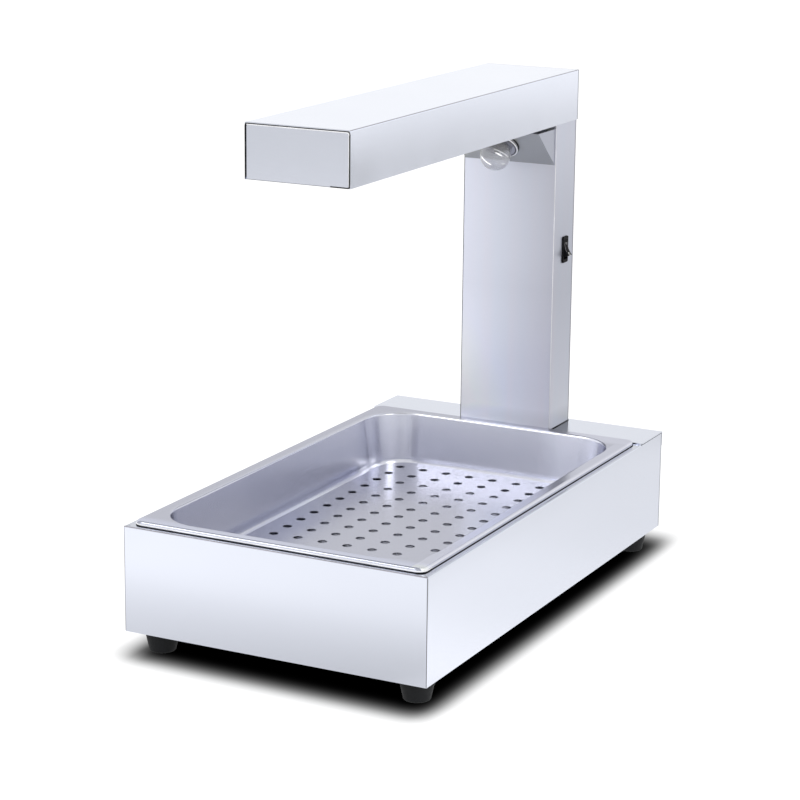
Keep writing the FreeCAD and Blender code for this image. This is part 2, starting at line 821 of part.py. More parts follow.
def make_food_pan():
    """A deep-drawn pan: rolled rim, flat flange and a leaning bowl with wide corners."""
    hollow = new_body("food_pan_hollow", kept=False)
    mouth = s.pan_rim_height + s.overrun
    loft(hollow, "Additive", [bowl_section(hollow, mouth, as_size(0)),
                              bowl_section(hollow, pan_floor, as_size(0))])
    round_edges(hollow, s.pan_floor_radius, lambda edge: lies_at(edge, z=pan_floor))
    body = new_body("food_pan", 0, front + s.front_margin + s.pan_length / 2, deck)
    rim = new_sketch(body, "XY_Plane", s.pan_rim_gap)
    rounded_rectangle(rim, s.pan_width, s.pan_length, s.pan_rim_corner)
    extrude(body, "Pad", rim, s.pan_rim_height - s.pan_rim_gap)
    round_edges(body, s.pan_rim_rounding, lambda edge: lies_at(edge, z=s.pan_rim_height))
    under = new_sketch(body, "XY_Plane", s.pan_rim_gap)
    rounded_rectangle(under, s.pan_width - 2 * s.pan_sheet, s.pan_length - 2 * s.pan_sheet,
                      s.pan_rim_corner - s.pan_sheet)
    flange_under = s.pan_rim_height - s.pan_sheet
    extrude(body, "Pocket", under, flange_under - s.pan_rim_gap, backwards=True)
    round_edges(body, s.pan_rim_rounding - s.pan_sheet,
                lambda edge: lies_at(edge, z=flange_under))
    outer_floor = pan_floor - s.pan_sheet
    loft(body, "Additive", [bowl_section(body, s.pan_rim_height - s.pan_sheet / 2, s.pan_sheet),
                            bowl_section(body, outer_floor, s.pan_sheet)])
    round_edges(body, s.pan_floor_radius + s.pan_sheet,
                lambda edge: lies_at(edge, z=outer_floor))
    cut = body.newObject("PartDesign::Boolean", "food_pan_cut")
    cut.Type = "Cut"
    cut.setObjects([hollow])
    body.Tip = cut
    round_edges(body, s.pan_mouth_radius - s.pan_sheet,
                lambda edge: lies_at(edge, z=flange_under) and by_the_bowl(edge))
    round_edges(body, s.pan_mouth_radius,
                lambda edge: lies_at(edge, z=s.pan_rim_height) and by_the_bowl(edge))


def make_drainer_plate():
    """A perforated plate that stands on the pan's floor and lets the fat drain."""
    lean_at_floor = s.pan_lean
    width = s.pan_width - 2 * (s.pan_flange + lean_at_floor + s.drainer_margin)
    length = s.pan_length - 2 * (s.pan_flange + lean_at_floor + s.drainer_margin)
    body = new_body("drainer_plate", 0, front + s.front_margin + s.pan_length / 2,
                    deck + pan_floor)
    plate = new_sketch(body, "XY_Plane")
    rounded_rectangle(plate, width, length, s.drainer_corner)
    extrude(body, "Pad", plate, s.drainer_height)
    round_edges(body, s.drainer_fold, lambda edge: lies_at(edge, z=s.drainer_height))
    hollow = new_sketch(body, "XY_Plane")
    rounded_rectangle(hollow, width - 2 * s.drainer_sheet, length - 2 * s.drainer_sheet,
                      s.drainer_corner - s.drainer_sheet)
    extrude(body, "Pocket", hollow, s.drainer_height - s.drainer_sheet, backwards=True)
    span_x = width - 2 * s.drainer_border
    span_y = length - 2 * s.drainer_border
    hole = cut_rod(body, (-span_x / 2, -span_y / 2, s.drainer_height / 2),
                   s.drainer_hole_radius, s.drainer_height)
    repeat(body, hole, "X", span_x, drainer_rows, "Y", span_y, drainer_columns)


make_food_pan()
make_drainer_plate()


# Column

def make_column_shell():
    """Front and sides of the column with its foot plate, open to the back and the top."""
    body = new_body("column_shell", 0, front + column_start, shelf_top)
    inside = half_column - s.steel_sheet
    add_box(body, (-half_column, 0, 0), (half_column, s.column_depth, column_height))
    round_edges(body, s.fold_radius, lambda edge: (
        lies_at(edge, x=-half_column, y=0) or lies_at(edge, x=half_column, y=0)))
    cut_box(body, (-inside, s.steel_sheet, s.steel_sheet),
            (inside, s.column_depth + s.overrun, column_height + s.overrun))
    # the cover rests on two returns
    cover_seat = s.column_depth - s.steel_sheet
    for side in (-1, 1):
        edges = sorted([side * inside, side * (inside - s.column_return)],
                       key=lambda size: size.value)
        add_box(body, (edges[0], cover_seat - s.steel_sheet, s.steel_sheet),
                (edges[1], cover_seat, column_height))
        for height in cover_screw_heights + [cap_screw_height]:
            cut_rod(body, (side * column_cover_x, cover_seat - s.steel_sheet - s.overrun, height),
                    screw_hole, s.steel_sheet + 2 * s.overrun, "Y")
    # foot plate
    cut_rod(body, (0, s.column_depth / 2, -s.overrun), s.wire_hole_radius,
            s.steel_sheet + 2 * s.overrun)
    for x, y in column_bolt_places:
        cut_rod(body, (x, y - column_start, -s.overrun), bolt_hole,
                s.steel_sheet + 2 * s.overrun)
    # window for the lamp holder and the heater wires
    hood_level = s.hood_clearance - s.shelf_sheet
    cut_box(body, (-s.wire_window_width / 2, -s.overrun, hood_level - s.wire_window_below),
            (s.wire_window_width / 2, s.steel_sheet + s.overrun,
             hood_level + s.wire_window_above))
    # opening for the switch
    half_opening_y = s.switch_body_width / 2 + s.hole_gap
    half_opening_z = s.switch_body_length / 2 + s.hole_gap
    cut_box(body, (inside - s.overrun, switch_setback - half_opening_y,
                   switch_z - half_opening_z),
            (half_column + s.overrun, switch_setback + half_opening_y,
             switch_z + half_opening_z))
    # screw holes of the lamp plate
    for side in (-1, 1):
        cut_rod(body, (side * lamp_screw_x, -s.overrun, lamp_screw_z), screw_hole,
                s.steel_sheet + 2 * s.overrun, "Y")


def make_column_back_cover():
    """The cover at the back of the column, with slots that let warm air out."""
    half_width = half_column - s.steel_sheet - s.fit_gap
    low = s.steel_sheet + s.fit_gap
    body = new_body("column_back_cover", 0, front + column_end - s.steel_sheet, shelf_top)
    add_box(body, (-half_width, 0, low), (half_width, s.steel_sheet, cover_top))
    for side in (-1, 1):
        for height in cover_screw_heights:
            cut_rod(body, (side * column_cover_x, -s.overrun, height), screw_hole,
                    s.steel_sheet + 2 * s.overrun, "Y")
    slot_top = cover_top - s.vent_start
    slot = cut_box(body, (-s.vent_width / 2, -s.overrun, slot_top - s.vent_slot),
                   (s.vent_width / 2, s.steel_sheet + s.overrun, slot_top))
    pattern = repeat(body, slot, "Z", s.vent_pitch * (vent_count - 1), vent_count)
    pattern.Reversed = True


lamp_screw_x = lamp_plate_width / 2 - s.steel_sheet - s.lamp_tab / 2
lamp_screw_z = s.hood_clearance - s.shelf_sheet - s.lamp_plate_drop - s.lamp_plate_height / 2
make_column_shell()
make_column_back_cover()
group("column_cover_screws", panel_screw,
      [(side * column_cover_x, front + column_end, shelf_top + height)
       for side in (-1, 1) for height in cover_screw_heights], ALONG["Y"])
group("column_bolts", column_bolt,
      [(x, front + y, deck - s.steel_sheet) for x, y in column_bolt_places], UPSIDE_DOWN)
group("column_nuts", plain_nut,
      [(x, front + y, shelf_top + s.steel_sheet) for x, y in column_bolt_places])


def make_cable_grommet():
    """A rubber ring that keeps the wires off the edge of the hole under the column."""
    stack = 2 * s.steel_sheet + s.shelf_sheet
    bottom = deck - s.steel_sheet
    body = new_body("cable_grommet", 0, front + column_middle, bottom)
    seat = s.wire_hole_radius - s.pin_gap
    add_rod(body, (0, 0, -s.grommet_height), seat + s.grommet_flange, s.grommet_height)
    add_rod(body, (0, 0, 0), seat, stack)
    add_rod(body, (0, 0, stack), seat + s.grommet_flange, s.grommet_height)
    cut_rod(body, (0, 0, -s.grommet_height - s.overrun), seat - s.grommet_wall,
            stack + 2 * s.grommet_height + 2 * s.overrun)


make_cable_grommet()


# Hood

def make_hood_shell():
    """Top and sides of the hood, with lips along the open underside."""
    half_width = s.hood_width / 2
    body = new_body("hood_shell", 0, front + hood_start, hood_bottom)
    add_box(body, (-half_width, 0, 0), (half_width, hood_length, s.hood_height))
    round_edges(body, s.fold_radius, lambda edge: (
        lies_at(edge, x=-half_width, z=s.hood_height)
        or lies_at(edge, x=half_width, z=s.hood_height)))
    cut_box(body, (-inner_hood, -s.overrun, -s.overrun),
            (inner_hood, hood_length + s.overrun, s.hood_height - s.steel_sheet))
    lip_start = s.steel_sheet + s.hood_cap_flange + s.fit_gap
    lip_end = s.reflector_start + reflector_length
    for side in (-1, 1):
        edges = sorted([side * inner_hood, side * (inner_hood - s.hood_lip)],
                       key=lambda size: size.value)
        add_box(body, (edges[0], lip_start, 0), (edges[1], lip_end, s.steel_sheet))


def make_hood_front_cap():
    """The front face of the hood, set in with a shadow gap and folded back all round."""
    half_width = inner_hood - s.hood_cap_gap
    low = s.fit_gap
    high = s.hood_height - s.steel_sheet - s.hood_cap_gap
    body = new_body("hood_front_cap", 0, front + hood_start, hood_bottom)
    add_box(body, (-half_width, 0, low), (half_width, s.hood_cap_flange, high))
    round_edges(body, s.hood_cap_corner, lambda edge: (
        lies_at(edge, x=-half_width, z=high) or lies_at(edge, x=half_width, z=high)))
    cut_box(body, (s.steel_sheet - half_width, s.steel_sheet, low + s.steel_sheet),
            (half_width - s.steel_sheet, s.hood_cap_flange + s.overrun, high - s.steel_sheet))
    # two raised pads on the side flanges bridge the gap to the shell
    pad_end = s.hood_cap_flange / 2
    for side in (-1, 1):
        edges = sorted([side * half_width, side * inner_hood], key=lambda size: size.value)
        add_box(body, (edges[0], pad_end, high * cap_pad_low_share),
                (edges[1], s.hood_cap_flange, high * cap_pad_high_share))


def make_hood_rear_cap():
    """The plate that closes the rear end of the hood behind the column."""
    half_width = half_column - s.steel_sheet - s.fit_gap
    body = new_body("hood_rear_cap", 0, front + column_end - s.steel_sheet, hood_bottom)
    add_box(body, (-half_width, 0, 0),
            (half_width, s.steel_sheet, s.hood_height - s.steel_sheet - s.fit_gap))
    for side in (-1, 1):
        cut_rod(body, (side * column_cover_x, -s.overrun, s.cap_screw_rise), screw_hole,
                s.steel_sheet + 2 * s.overrun, "Y")


def make_heat_reflector():
    """A trough over the heaters that stands on the hood's lips."""
    foot = s.steel_sheet
    shoulder = s.reflector_shoulder
    top = s.reflector_top
    narrow = s.reflector_half_top
    wide = s.reflector_half_mouth
    wall = s.reflector_sheet
    body = new_body("heat_reflector", 0, front + hood_start + s.reflector_start, hood_bottom)
    profile = new_sketch(body, "XZ_Plane")
    outline(profile, [
        (-wide, foot), (-wide, shoulder), (-narrow, top), (narrow, top), (wide, shoulder),
        (wide, foot), (wide - wall, foot), (wide - wall, shoulder), (narrow, top - wall),
        (-narrow, top - wall), (wall - wide, shoulder), (wall - wide, foot)])
    extrude(body, "Pad", profile, reflector_length, backwards=True)


bracket_starts = {
    "front": s.reflector_start + s.bracket_inset,
    "rear": s.reflector_start + reflector_length - s.bracket_inset - s.bracket_sheet,
}
bracket_top = s.reflector_top - s.reflector_sheet
ceramic_places = []
for side in (-1, 1):
    for end in ("front", "rear"):
        middle = bracket_starts[end] + s.bracket_sheet / 2
        ceramic_places.append((side * s.tube_spacing / 2, middle, end))


def make_heater_bracket(end):
    """A plate under the reflector with two holes for the heaters' ceramic ends."""
    body = new_body("heater_bracket_" + end, 0, front + hood_start + bracket_starts[end],
                    hood_bottom)
    add_box(body, (-s.bracket_half_width, 0, s.bracket_bottom),
            (s.bracket_half_width, s.bracket_sheet, s.bracket_shoulder))
    add_box(body, (-s.bracket_tab_half, 0, s.bracket_shoulder),
            (s.bracket_tab_half, s.bracket_sheet, bracket_top))
    add_box(body, (-s.bracket_tab_half, s.bracket_sheet, bracket_top - s.bracket_sheet),
            (s.bracket_tab_half, s.bracket_sheet + s.bracket_tab_length, bracket_top))
    for side in (-1, 1):
        cut_rod(body, (side * s.tube_spacing / 2, -s.overrun, s.tube_height),
                s.ceramic_radius + s.pin_gap, s.bracket_sheet + 2 * s.overrun, "Y")


def make_ceramic_template():
    """A ceramic end with a socket for the quartz tube, which opens along +Y."""
    body = new_body("ceramic_template", kept=False)
    add_rod(body, (0, -s.ceramic_length / 2, 0), s.ceramic_radius, s.ceramic_length, "Y")
    cut_rod(body, (0, s.ceramic_length / 2 - s.ceramic_socket, 0),
            s.tube_radius + s.pin_gap, s.ceramic_socket + s.overrun, "Y")
    cut_rod(body, (0, -s.ceramic_length / 2 - s.overrun, 0), s.lead_radius + s.pin_gap,
            s.ceramic_length, "Y")
    return body


def make_heater(side_name, side):
    """One quartz tube and the heating coil inside it."""
    start = bracket_starts["front"] + s.bracket_sheet / 2 + s.ceramic_length / 2 - s.ceramic_socket
    end = bracket_starts["rear"] + s.bracket_sheet / 2 - s.ceramic_length / 2 + s.ceramic_socket
    x = side * s.tube_spacing / 2
    tube = new_body("heater_tube_" + side_name, x, front + hood_start + start,
                    hood_bottom + s.tube_height)
    add_rod(tube, (0, 0, 0), s.tube_radius, end - start, "Y")
    cut_rod(tube, (0, -s.overrun, 0), s.tube_radius - s.tube_wall,
            end - start + 2 * s.overrun, "Y")
    coil = new_body("heater_coil_" + side_name, x, front + hood_start + start,
                    hood_bottom + s.tube_height)
    add_rod(coil, (0, 0, 0), s.coil_radius, end - start, "Y")


def make_heater_guard():
    """A wire grille on the lips that keeps hands off the hot tubes."""
    height = s.steel_sheet + s.guard_rod_radius + s.fit_gap
    start = s.reflector_start + s.guard_end_gap
    length = reflector_length - 2 * s.guard_end_gap
    body = new_body("heater_guard", 0, front + hood_start + start, hood_bottom + height)
    for side in (-1, 1):
        add_rod(body, (side * s.guard_half_width, 0, 0), s.guard_rod_radius, length, "Y")
    crossing = add_rod(body, (-s.guard_half_width, s.guard_margin, 0), s.guard_cross_radius,
                       2 * s.guard_half_width, "X")
    repeat(body, crossing, "Y", length - 2 * s.guard_margin, guard_rod_count)


make_hood_shell()
make_hood_front_cap()
make_hood_rear_cap()
make_heat_reflector()
for end in ("front", "rear"):
    make_heater_bracket(end)
ceramic = make_ceramic_template()
facing = {"front": FreeCAD.Rotation(), "rear": FreeCAD.Rotation(Vector(0, 0, 1), 180)}
ceramic_links = []
for x, y, end in ceramic_places:
    link = doc.addObject("App::Link", "ceramic_copy")
    link.LinkedObject = ceramic
    place(link, x, front + hood_start + y, hood_bottom + s.tube_height, facing[end])
    ceramic_links.append(link)
ceramics = doc.addObject("Part::Compound", "heater_end_ceramics")
ceramics.Label = "heater_end_ceramics"
ceramics.Links = ceramic_links
subparts["heater_end_ceramics"] = ceramics
make_heater("left", -1)
make_heater("right", 1)
make_heater_guard()
group("hood_cap_screws", panel_screw,
      [(side * column_cover_x, front + column_end, hood_bottom + s.cap_screw_rise)
       for side in (-1, 1)], ALONG["Y"])


# Lamp in the corner between hood and column

lamp_angle = math.degrees(math.atan2(s.lamp_plate_height.value, -s.lamp_plate_depth.value))
lamp_axis = FreeCAD.Rotation(Vector(1, 0, 0), lamp_angle)
lamp_top = hood_bottom - s.lamp_plate_drop
lamp_out = lamp_axis.multVec(Vector(0, 0, 1))
lamp_y = column_start - s.lamp_plate_depth * lamp_seat_share
lamp_z = lamp_top - s.lamp_plate_height * (1 - lamp_seat_share)


def make_lamp_bracket():
    """A sloping plate between two triangular cheeks, screwed to the column."""
    half_width = lamp_plate_width / 2
    wall_across = s.steel_sheet * lamp_slope / s.lamp_plate_height
    wall_down = s.steel_sheet * lamp_slope / s.lamp_plate_depth
    body = new_body("lamp_bracket", 0, front + column_start, lamp_top)
    outer = new_sketch(body, "YZ_Plane")
    outline(outer, [(0, 0), (-s.lamp_plate_depth, 0), (0, -s.lamp_plate_height)])
    extrude(body, "Pad", outer, lamp_plate_width, midplane=True)
    inner = new_sketch(body, "YZ_Plane")
    outline(inner, [(0, 0), (wall_across - s.lamp_plate_depth, 0),
                    (0, wall_down - s.lamp_plate_height)])
    extrude(body, "Pocket", inner, lamp_plate_width - 2 * s.steel_sheet, midplane=True)
    inside = half_width - s.steel_sheet
    for side in (-1, 1):
        edges = sorted([side * inside, side * (inside - s.lamp_tab)], key=lambda size: size.value)
        add_box(body, (edges[0], -s.steel_sheet, -s.lamp_plate_height + 2 * wall_down),
                (edges[1], 0, 0))
        cut_rod(body, (side * lamp_screw_x, -s.steel_sheet - s.overrun,
                       -s.lamp_plate_height / 2), screw_hole,
                s.steel_sheet + 2 * s.overrun, "Y")
    hole = body.newObject("PartDesign::SubtractiveCylinder", "lamp_hole")
    bind(hole, "Radius", s.lamp_hole_radius)
    bind(hole, "Height", 2 * s.overrun)
    place(hole, 0, lamp_y - column_start - s.overrun * lamp_out.y,
          lamp_z - lamp_top - s.overrun * lamp_out.z, lamp_axis)


def lamp_body(label):
    """A body whose own Z axis points out of the sloping plate at the lamp."""
    return new_body(label, 0, front + lamp_y, lamp_z, lamp_axis)


def make_lamp_ring():
    """The bright ring around the lamp on the sloping plate."""
    body = lamp_body("lamp_ring")
    add_rod(body, (0, 0, 0), s.lamp_ring_radius, s.lamp_ring_height)
    round_edges(body, s.lamp_ring_rounding, lambda edge: lies_at(edge, z=s.lamp_ring_height))
    cut_rod(body, (0, 0, -s.overrun), s.lamp_ring_bore,
            s.lamp_ring_height + 2 * s.overrun)


def make_lamp_holder():
    """The ceramic socket behind the sloping plate."""
    body = lamp_body("lamp_holder")
    top = -s.steel_sheet
    add_rod(body, (0, 0, top - s.lamp_holder_length), s.lamp_holder_radius,
            s.lamp_holder_length)
    socket_floor = -s.bulb_cap_start - s.bulb_cap_length - s.bulb_tip_length
    cut_rod(body, (0, 0, socket_floor), s.bulb_cap_radius + s.pin_gap, top - socket_floor)
    cut_rod(body, (0, 0, top - s.lamp_throat_depth), s.lamp_hole_radius,
            s.lamp_throat_depth + s.overrun)


def make_bulb_cap():
    """The threaded metal cap of the bulb with its end contact."""
    body = lamp_body("bulb_cap")
    tip_top = -s.bulb_cap_start - s.bulb_cap_length
    add_rod(body, (0, 0, tip_top), s.bulb_cap_radius, s.bulb_cap_length)
    cut_rod(body, (0, 0, tip_top + s.bulb_tip_length), s.bulb_neck_radius + s.pin_gap,
            s.bulb_cap_length)
    add_rod(body, (0, 0, tip_top - s.bulb_tip_length), s.bulb_tip_radius, s.bulb_tip_length)


def make_bulb_glass():
    """Clear glass: a round bulb that narrows to the neck in the cap."""
    body = lamp_body("bulb_glass")
    neck_end = -s.bulb_cap_start - s.bulb_cap_length / 2
    sphere(body, "Additive", (0, 0, s.bulb_reach), s.bulb_radius)
    cone(body, "Additive", (0, 0, -s.bulb_cap_start), s.bulb_neck_radius, s.bulb_cone_radius,
         s.bulb_cap_start + s.bulb_cone_reach)
    add_rod(body, (0, 0, neck_end), s.bulb_neck_radius, -s.bulb_cap_start - neck_end)
    sphere(body, "Subtractive", (0, 0, s.bulb_reach), s.bulb_radius - s.bulb_wall)
    cone(body, "Subtractive", (0, 0, -s.bulb_cap_start), s.bulb_neck_radius - s.bulb_wall,
         s.bulb_cone_radius - s.bulb_wall, s.bulb_cap_start + s.bulb_cone_reach)
    cut_rod(body, (0, 0, neck_end - s.overrun), s.bulb_neck_radius - s.bulb_wall,
            -s.bulb_cap_start - neck_end + s.overrun)


def make_bulb_stem():
    """The glass stem with the filament across its top."""
    body = lamp_body("bulb_stem")
    seat = -s.bulb_cap_start - s.bulb_cap_length + s.bulb_tip_length
    add_rod(body, (0, 0, seat), s.stem_radius, s.stem_reach - seat)
    add_rod(body, (-s.filament_half_length, 0, s.stem_reach), s.filament_radius,
            2 * s.filament_half_length, "X")


make_lamp_bracket()
make_lamp_ring()
make_lamp_holder()
make_bulb_cap()
make_bulb_glass()
make_bulb_stem()
group("lamp_bracket_screws", panel_screw,
      [(side * lamp_screw_x, front + column_start - s.steel_sheet, shelf_top + lamp_screw_z)
       for side in (-1, 1)], FreeCAD.Rotation(Vector(1, 0, 0), 90))


# Rocker switch on the column's right side

pivot_x = half_column - s.rocker_pivot_depth
switch_y = front + column_start + switch_setback
switch_level = shelf_top + switch_z


def make_switch_housing():
    """The switch's frame outside the column and its body inside."""
    body = new_body("switch_housing", half_column, switch_y, switch_level)
    half_bezel_y = s.bezel_width / 2
    half_bezel_z = s.bezel_length / 2
    add_box(body, (0, -half_bezel_y, -half_bezel_z), (s.bezel_thickness, half_bezel_y, half_bezel_z))
    round_edges(body, s.bezel_corner, lambda edge: (
        (lies_at(edge, y=-half_bezel_y) or lies_at(edge, y=half_bezel_y))
        and (lies_at(edge, z=-half_bezel_z) or lies_at(edge, z=half_bezel_z))))
    round_edges(body, s.bezel_rounding, lambda edge: lies_at(edge, x=s.bezel_thickness))
    half_y = s.switch_body_width / 2
    half_z = s.switch_body_length / 2
    add_box(body, (-s.switch_body_depth, -half_y, -half_z), (0, half_y, half_z))
    cut_box(body, (-s.switch_cavity, s.switch_wall - half_y, s.switch_end_wall - half_z),
            (s.bezel_thickness + s.overrun, half_y - s.switch_wall, half_z - s.switch_end_wall))
    cut_rod(body, (-s.rocker_pivot_depth, -half_y - s.overrun, 0),
            s.switch_pin_radius + s.pin_gap, s.switch_body_width + 2 * s.overrun, "Y")


def make_switch_rocker():
    """The rocker with its hollow face, at rest with the top pressed in."""
    tilt = FreeCAD.Rotation(Vector(0, 1, 0), -rocker_tilt_degrees)
    body = new_body("switch_rocker", pivot_x, switch_y, switch_level, tilt)
    half_y = s.switch_body_width / 2 - s.switch_wall - s.rocker_gap
    add_box(body, (0, -half_y, -s.rocker_half_length),
            (s.rocker_reach, half_y, s.rocker_half_length))
    add_box(body, (-s.rocker_root, -half_y, -s.rocker_root_half), (0, half_y, s.rocker_root_half))
    curve = (s.rocker_half_length * s.rocker_half_length / s.rocker_hollow + s.rocker_hollow) / 2
    cut_rod(body, (s.rocker_reach - s.rocker_hollow + curve, -half_y - s.overrun, 0), curve,
            2 * half_y + 2 * s.overrun, "Y")
    round_edges(body, s.rocker_rounding, lambda edge: (
        (lies_at(edge, z=s.rocker_half_length) or lies_at(edge, z=-s.rocker_half_length))
        and not lies_at(edge, x=0)))
    cut_rod(body, (0, -half_y - s.overrun, 0), s.switch_pin_radius + s.pin_gap,
            2 * half_y + 2 * s.overrun, "Y")


def make_switch_pin():
    """The pin that the rocker turns on."""
    body = new_body("switch_pin", pivot_x, switch_y, switch_level)
    half_length = s.switch_body_width / 2 - s.pin_gap
    add_rod(body, (0, -half_length, 0), s.switch_pin_radius, 2 * half_length, "Y")


def make_blade_template():
    """One push-on terminal blade."""
    body = new_body("blade_template", kept=False)
    add_box(body, (-s.blade_length, -s.blade_width / 2, -s.blade_thickness / 2),
            (0, s.blade_width / 2, s.blade_thickness / 2))
    return body


make_switch_housing()
make_switch_rocker()
make_switch_pin()
group("switch_terminals", make_blade_template(),
      [(half_column - s.switch_body_depth, switch_y, switch_level + row * s.blade_pitch)
       for row in (-1, 0, 1)])


# Terminals, earth stud and wires

def make_terminal_block(label, x, y, z, upwards):
    """A ceramic block with three clamping screws in recesses."""
    body = new_body(label, x, y, z, FreeCAD.Rotation() if upwards else UPSIDE_DOWN)
    add_box(body, (-s.block_length / 2, -s.block_width / 2, 0),
            (s.block_length / 2, s.block_width / 2, s.block_height))
    recess = cut_rod(body, (-s.block_pitch, 0, s.block_height - s.block_screw_depth),
                     s.block_screw_radius, s.block_screw_depth + s.overrun)
    repeat(body, recess, "X", 2 * s.block_pitch, 3)


def make_earth_stud():
    """A brass stud through the tray, head down."""
    body = new_body("earth_stud", s.earth_x, front + column_end - s.earth_setback, s.foot_height)
    add_rod(body, (0, 0, -s.bolt_head_height), s.bolt_head_radius, s.bolt_head_height)
    add_rod(body, (0, 0, 0), s.bolt_radius, s.foot_bolt_length)


block_seat = s.foot_height + s.steel_sheet
hood_block_y = column_start - s.hood_block_setback
hood_ceiling = hood_bottom + s.hood_height - s.steel_sheet
make_terminal_block("base_terminal_block", s.base_block_x, front + column_middle, block_seat, True)
make_terminal_block("hood_terminal_block", 0, front + hood_block_y, hood_ceiling, False)
make_earth_stud()
group("earth_nut", plain_nut,
      [(s.earth_x, front + column_end - s.earth_setback, s.foot_height + s.steel_sheet)])

block_side = s.block_width / 2
grommet_under = deck - s.steel_sheet - s.grommet_height
blade_end = half_column - s.switch_body_depth - s.blade_length
column_y = front + column_middle
base_block_middle = block_seat + s.block_height / 2
base_block_front = column_y - block_side
hood_block_middle = hood_ceiling - s.block_height / 2
hood_block_front = front + hood_block_y - block_side
hood_block_rear = front + hood_block_y + block_side
low_blade = switch_level - s.blade_pitch
high_blade = switch_level + s.blade_pitch
make_wires("base_harness", s.harness_radius, s.harness_bend, [[
    (s.base_block_x, base_block_front, base_block_middle),
    (s.base_block_x, base_block_front - s.harness_stub, base_block_middle),
    (s.base_block_x, base_block_front - s.harness_stub, base_block_middle + s.harness_run),
    (0, column_y, grommet_under - s.harness_stub),
    (0, column_y, low_blade - s.harness_run),
    (blade_end - s.harness_stub, switch_y, low_blade),
    (blade_end, switch_y, low_blade)]])
make_wires("hood_harness", s.harness_radius, s.harness_bend, [[
    (blade_end, switch_y, high_blade),
    (blade_end - s.harness_stub, switch_y, high_blade),
    (0, column_y, high_blade + s.harness_run),
    (0, column_y, hood_block_middle),
    (0, hood_block_rear, hood_block_middle)]])
ceramic_rear = front + hood_start + bracket_starts["rear"] + (s.bracket_sheet + s.ceramic_length) / 2
ceramic_front = front + hood_start + bracket_starts["front"] + (s.bracket_sheet - s.ceramic_length) / 2
tube_z = hood_bottom + s.tube_height
half_spacing = s.tube_spacing / 2
heater_paths = [[
    (-half_spacing, ceramic_front + s.lead_entry, tube_z),
    (-half_spacing, ceramic_front - s.lead_stub, tube_z),
    (half_spacing, ceramic_front - s.lead_stub, tube_z),
    (half_spacing, ceramic_front + s.lead_entry, tube_z)]]
for side in (-1, 1):
    heater_paths.append([
        (side * half_spacing, ceramic_rear - s.lead_entry, tube_z),
        (side * half_spacing, ceramic_rear + s.lead_run, tube_z),
        (side * s.heater_lead_x, hood_block_front - s.lead_stub, hood_block_middle),
        (side * s.heater_lead_x, hood_block_front, hood_block_middle)])
make_wires("heater_leads", s.lead_radius, s.lead_bend, heater_paths)
holder_end = -s.steel_sheet - s.lamp_holder_length
bend_reach = holder_end - s.lead_run
lamp_paths = []
for side in (-1, 1):
    lamp_paths.append([
        (side * s.lamp_lead_x, front + lamp_y + lamp_out.y * holder_end, lamp_z + lamp_out.z * holder_end),
        (side * s.lamp_lead_x, front + lamp_y + lamp_out.y * bend_reach, lamp_z + lamp_out.z * bend_reach),
        (side * s.lamp_lead_x, front + lamp_y + lamp_out.y * bend_reach, hood_block_middle),
        (side * s.lamp_lead_x, hood_block_rear, hood_block_middle)])
make_wires("lamp_leads", s.lead_radius, s.lead_bend, lamp_paths)


# Cord inlet in the back panel

def gland_piece(label):
    """A body on the cord inlet's axis, with its origin in the panel's outer face."""
    return new_body(label, s.gland_x, front + shell_length, s.foot_height + s.gland_z)


def make_gland():
    """A screwed inlet: body, lock nut, rubber seal and domed cap."""
    inner_end = -s.steel_sheet - s.gland_thread_length
    neck_end = s.gland_hex_length + s.gland_neck_length
    dome_end = s.gland_hex_length + s.gland_dome_length
    seal_start = neck_end - s.gland_seal_length
    body = gland_piece("gland_body")
    add_rod(body, (0, inner_end, 0), s.gland_thread_radius, neck_end - inner_end, "Y")
    hexagon(body, (0, 0, 0), s.gland_hex_radius, s.gland_hex_length, "Y")
    cut_rod(body, (0, inner_end - s.overrun, 0), s.gland_bore_radius + s.hole_gap,
            neck_end - inner_end + 2 * s.overrun, "Y")
    cut_rod(body, (0, seal_start, 0), s.gland_seal_radius, neck_end - seal_start + s.overrun, "Y")
    seal = gland_piece("gland_seal")
    add_rod(seal, (0, seal_start, 0), s.gland_seal_radius - s.pin_gap, s.gland_seal_length, "Y")
    cut_rod(seal, (0, seal_start - s.overrun, 0), s.gland_bore_radius,
            s.gland_seal_length + 2 * s.overrun, "Y")
    cap = gland_piece("gland_cap")
    add_rod(cap, (0, s.gland_hex_length, 0), s.gland_dome_radius, s.gland_dome_length, "Y")
    round_edges(cap, s.gland_dome_rounding, lambda edge: lies_at(edge, y=dome_end))
    cut_rod(cap, (0, s.gland_hex_length - s.overrun, 0), s.gland_thread_radius + s.pin_gap,
            s.gland_neck_length + s.overrun, "Y")
    cut_rod(cap, (0, s.gland_hex_length, 0), s.gland_bore_radius + s.hole_gap,
            s.gland_dome_length + s.overrun, "Y")
    nut = gland_piece("gland_locknut")
    nut_start = -s.steel_sheet - s.gland_nut_length
    hexagon(nut, (0, nut_start, 0), s.gland_hex_radius, s.gland_nut_length, "Y")
    cut_rod(nut, (0, nut_start - s.overrun, 0), s.gland_thread_radius + s.pin_gap,
            s.gland_nut_length + 2 * s.overrun, "Y")


make_gland()
doc.recompute()


# Checks and export

def check_document():
    """Stops if any object failed or any sub-part is not a sound solid."""
    for item in doc.Objects:
        if "Invalid" in item.State or "Error" in item.State:
            raise RuntimeError(item.Label + " failed: " + str(item.State))
    for name, piece in subparts.items():
        if piece.Shape.isNull() or not piece.Shape.isValid() or not piece.Shape.Solids:
            raise RuntimeError(name + " is not a sound solid")


check_document()
os.makedirs("parts", exist_ok=True)
for name, piece in subparts.items():
    piece.Shape.exportStep("parts/" + name + ".step")
print(len(subparts), "sub-parts")
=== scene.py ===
import json
import math

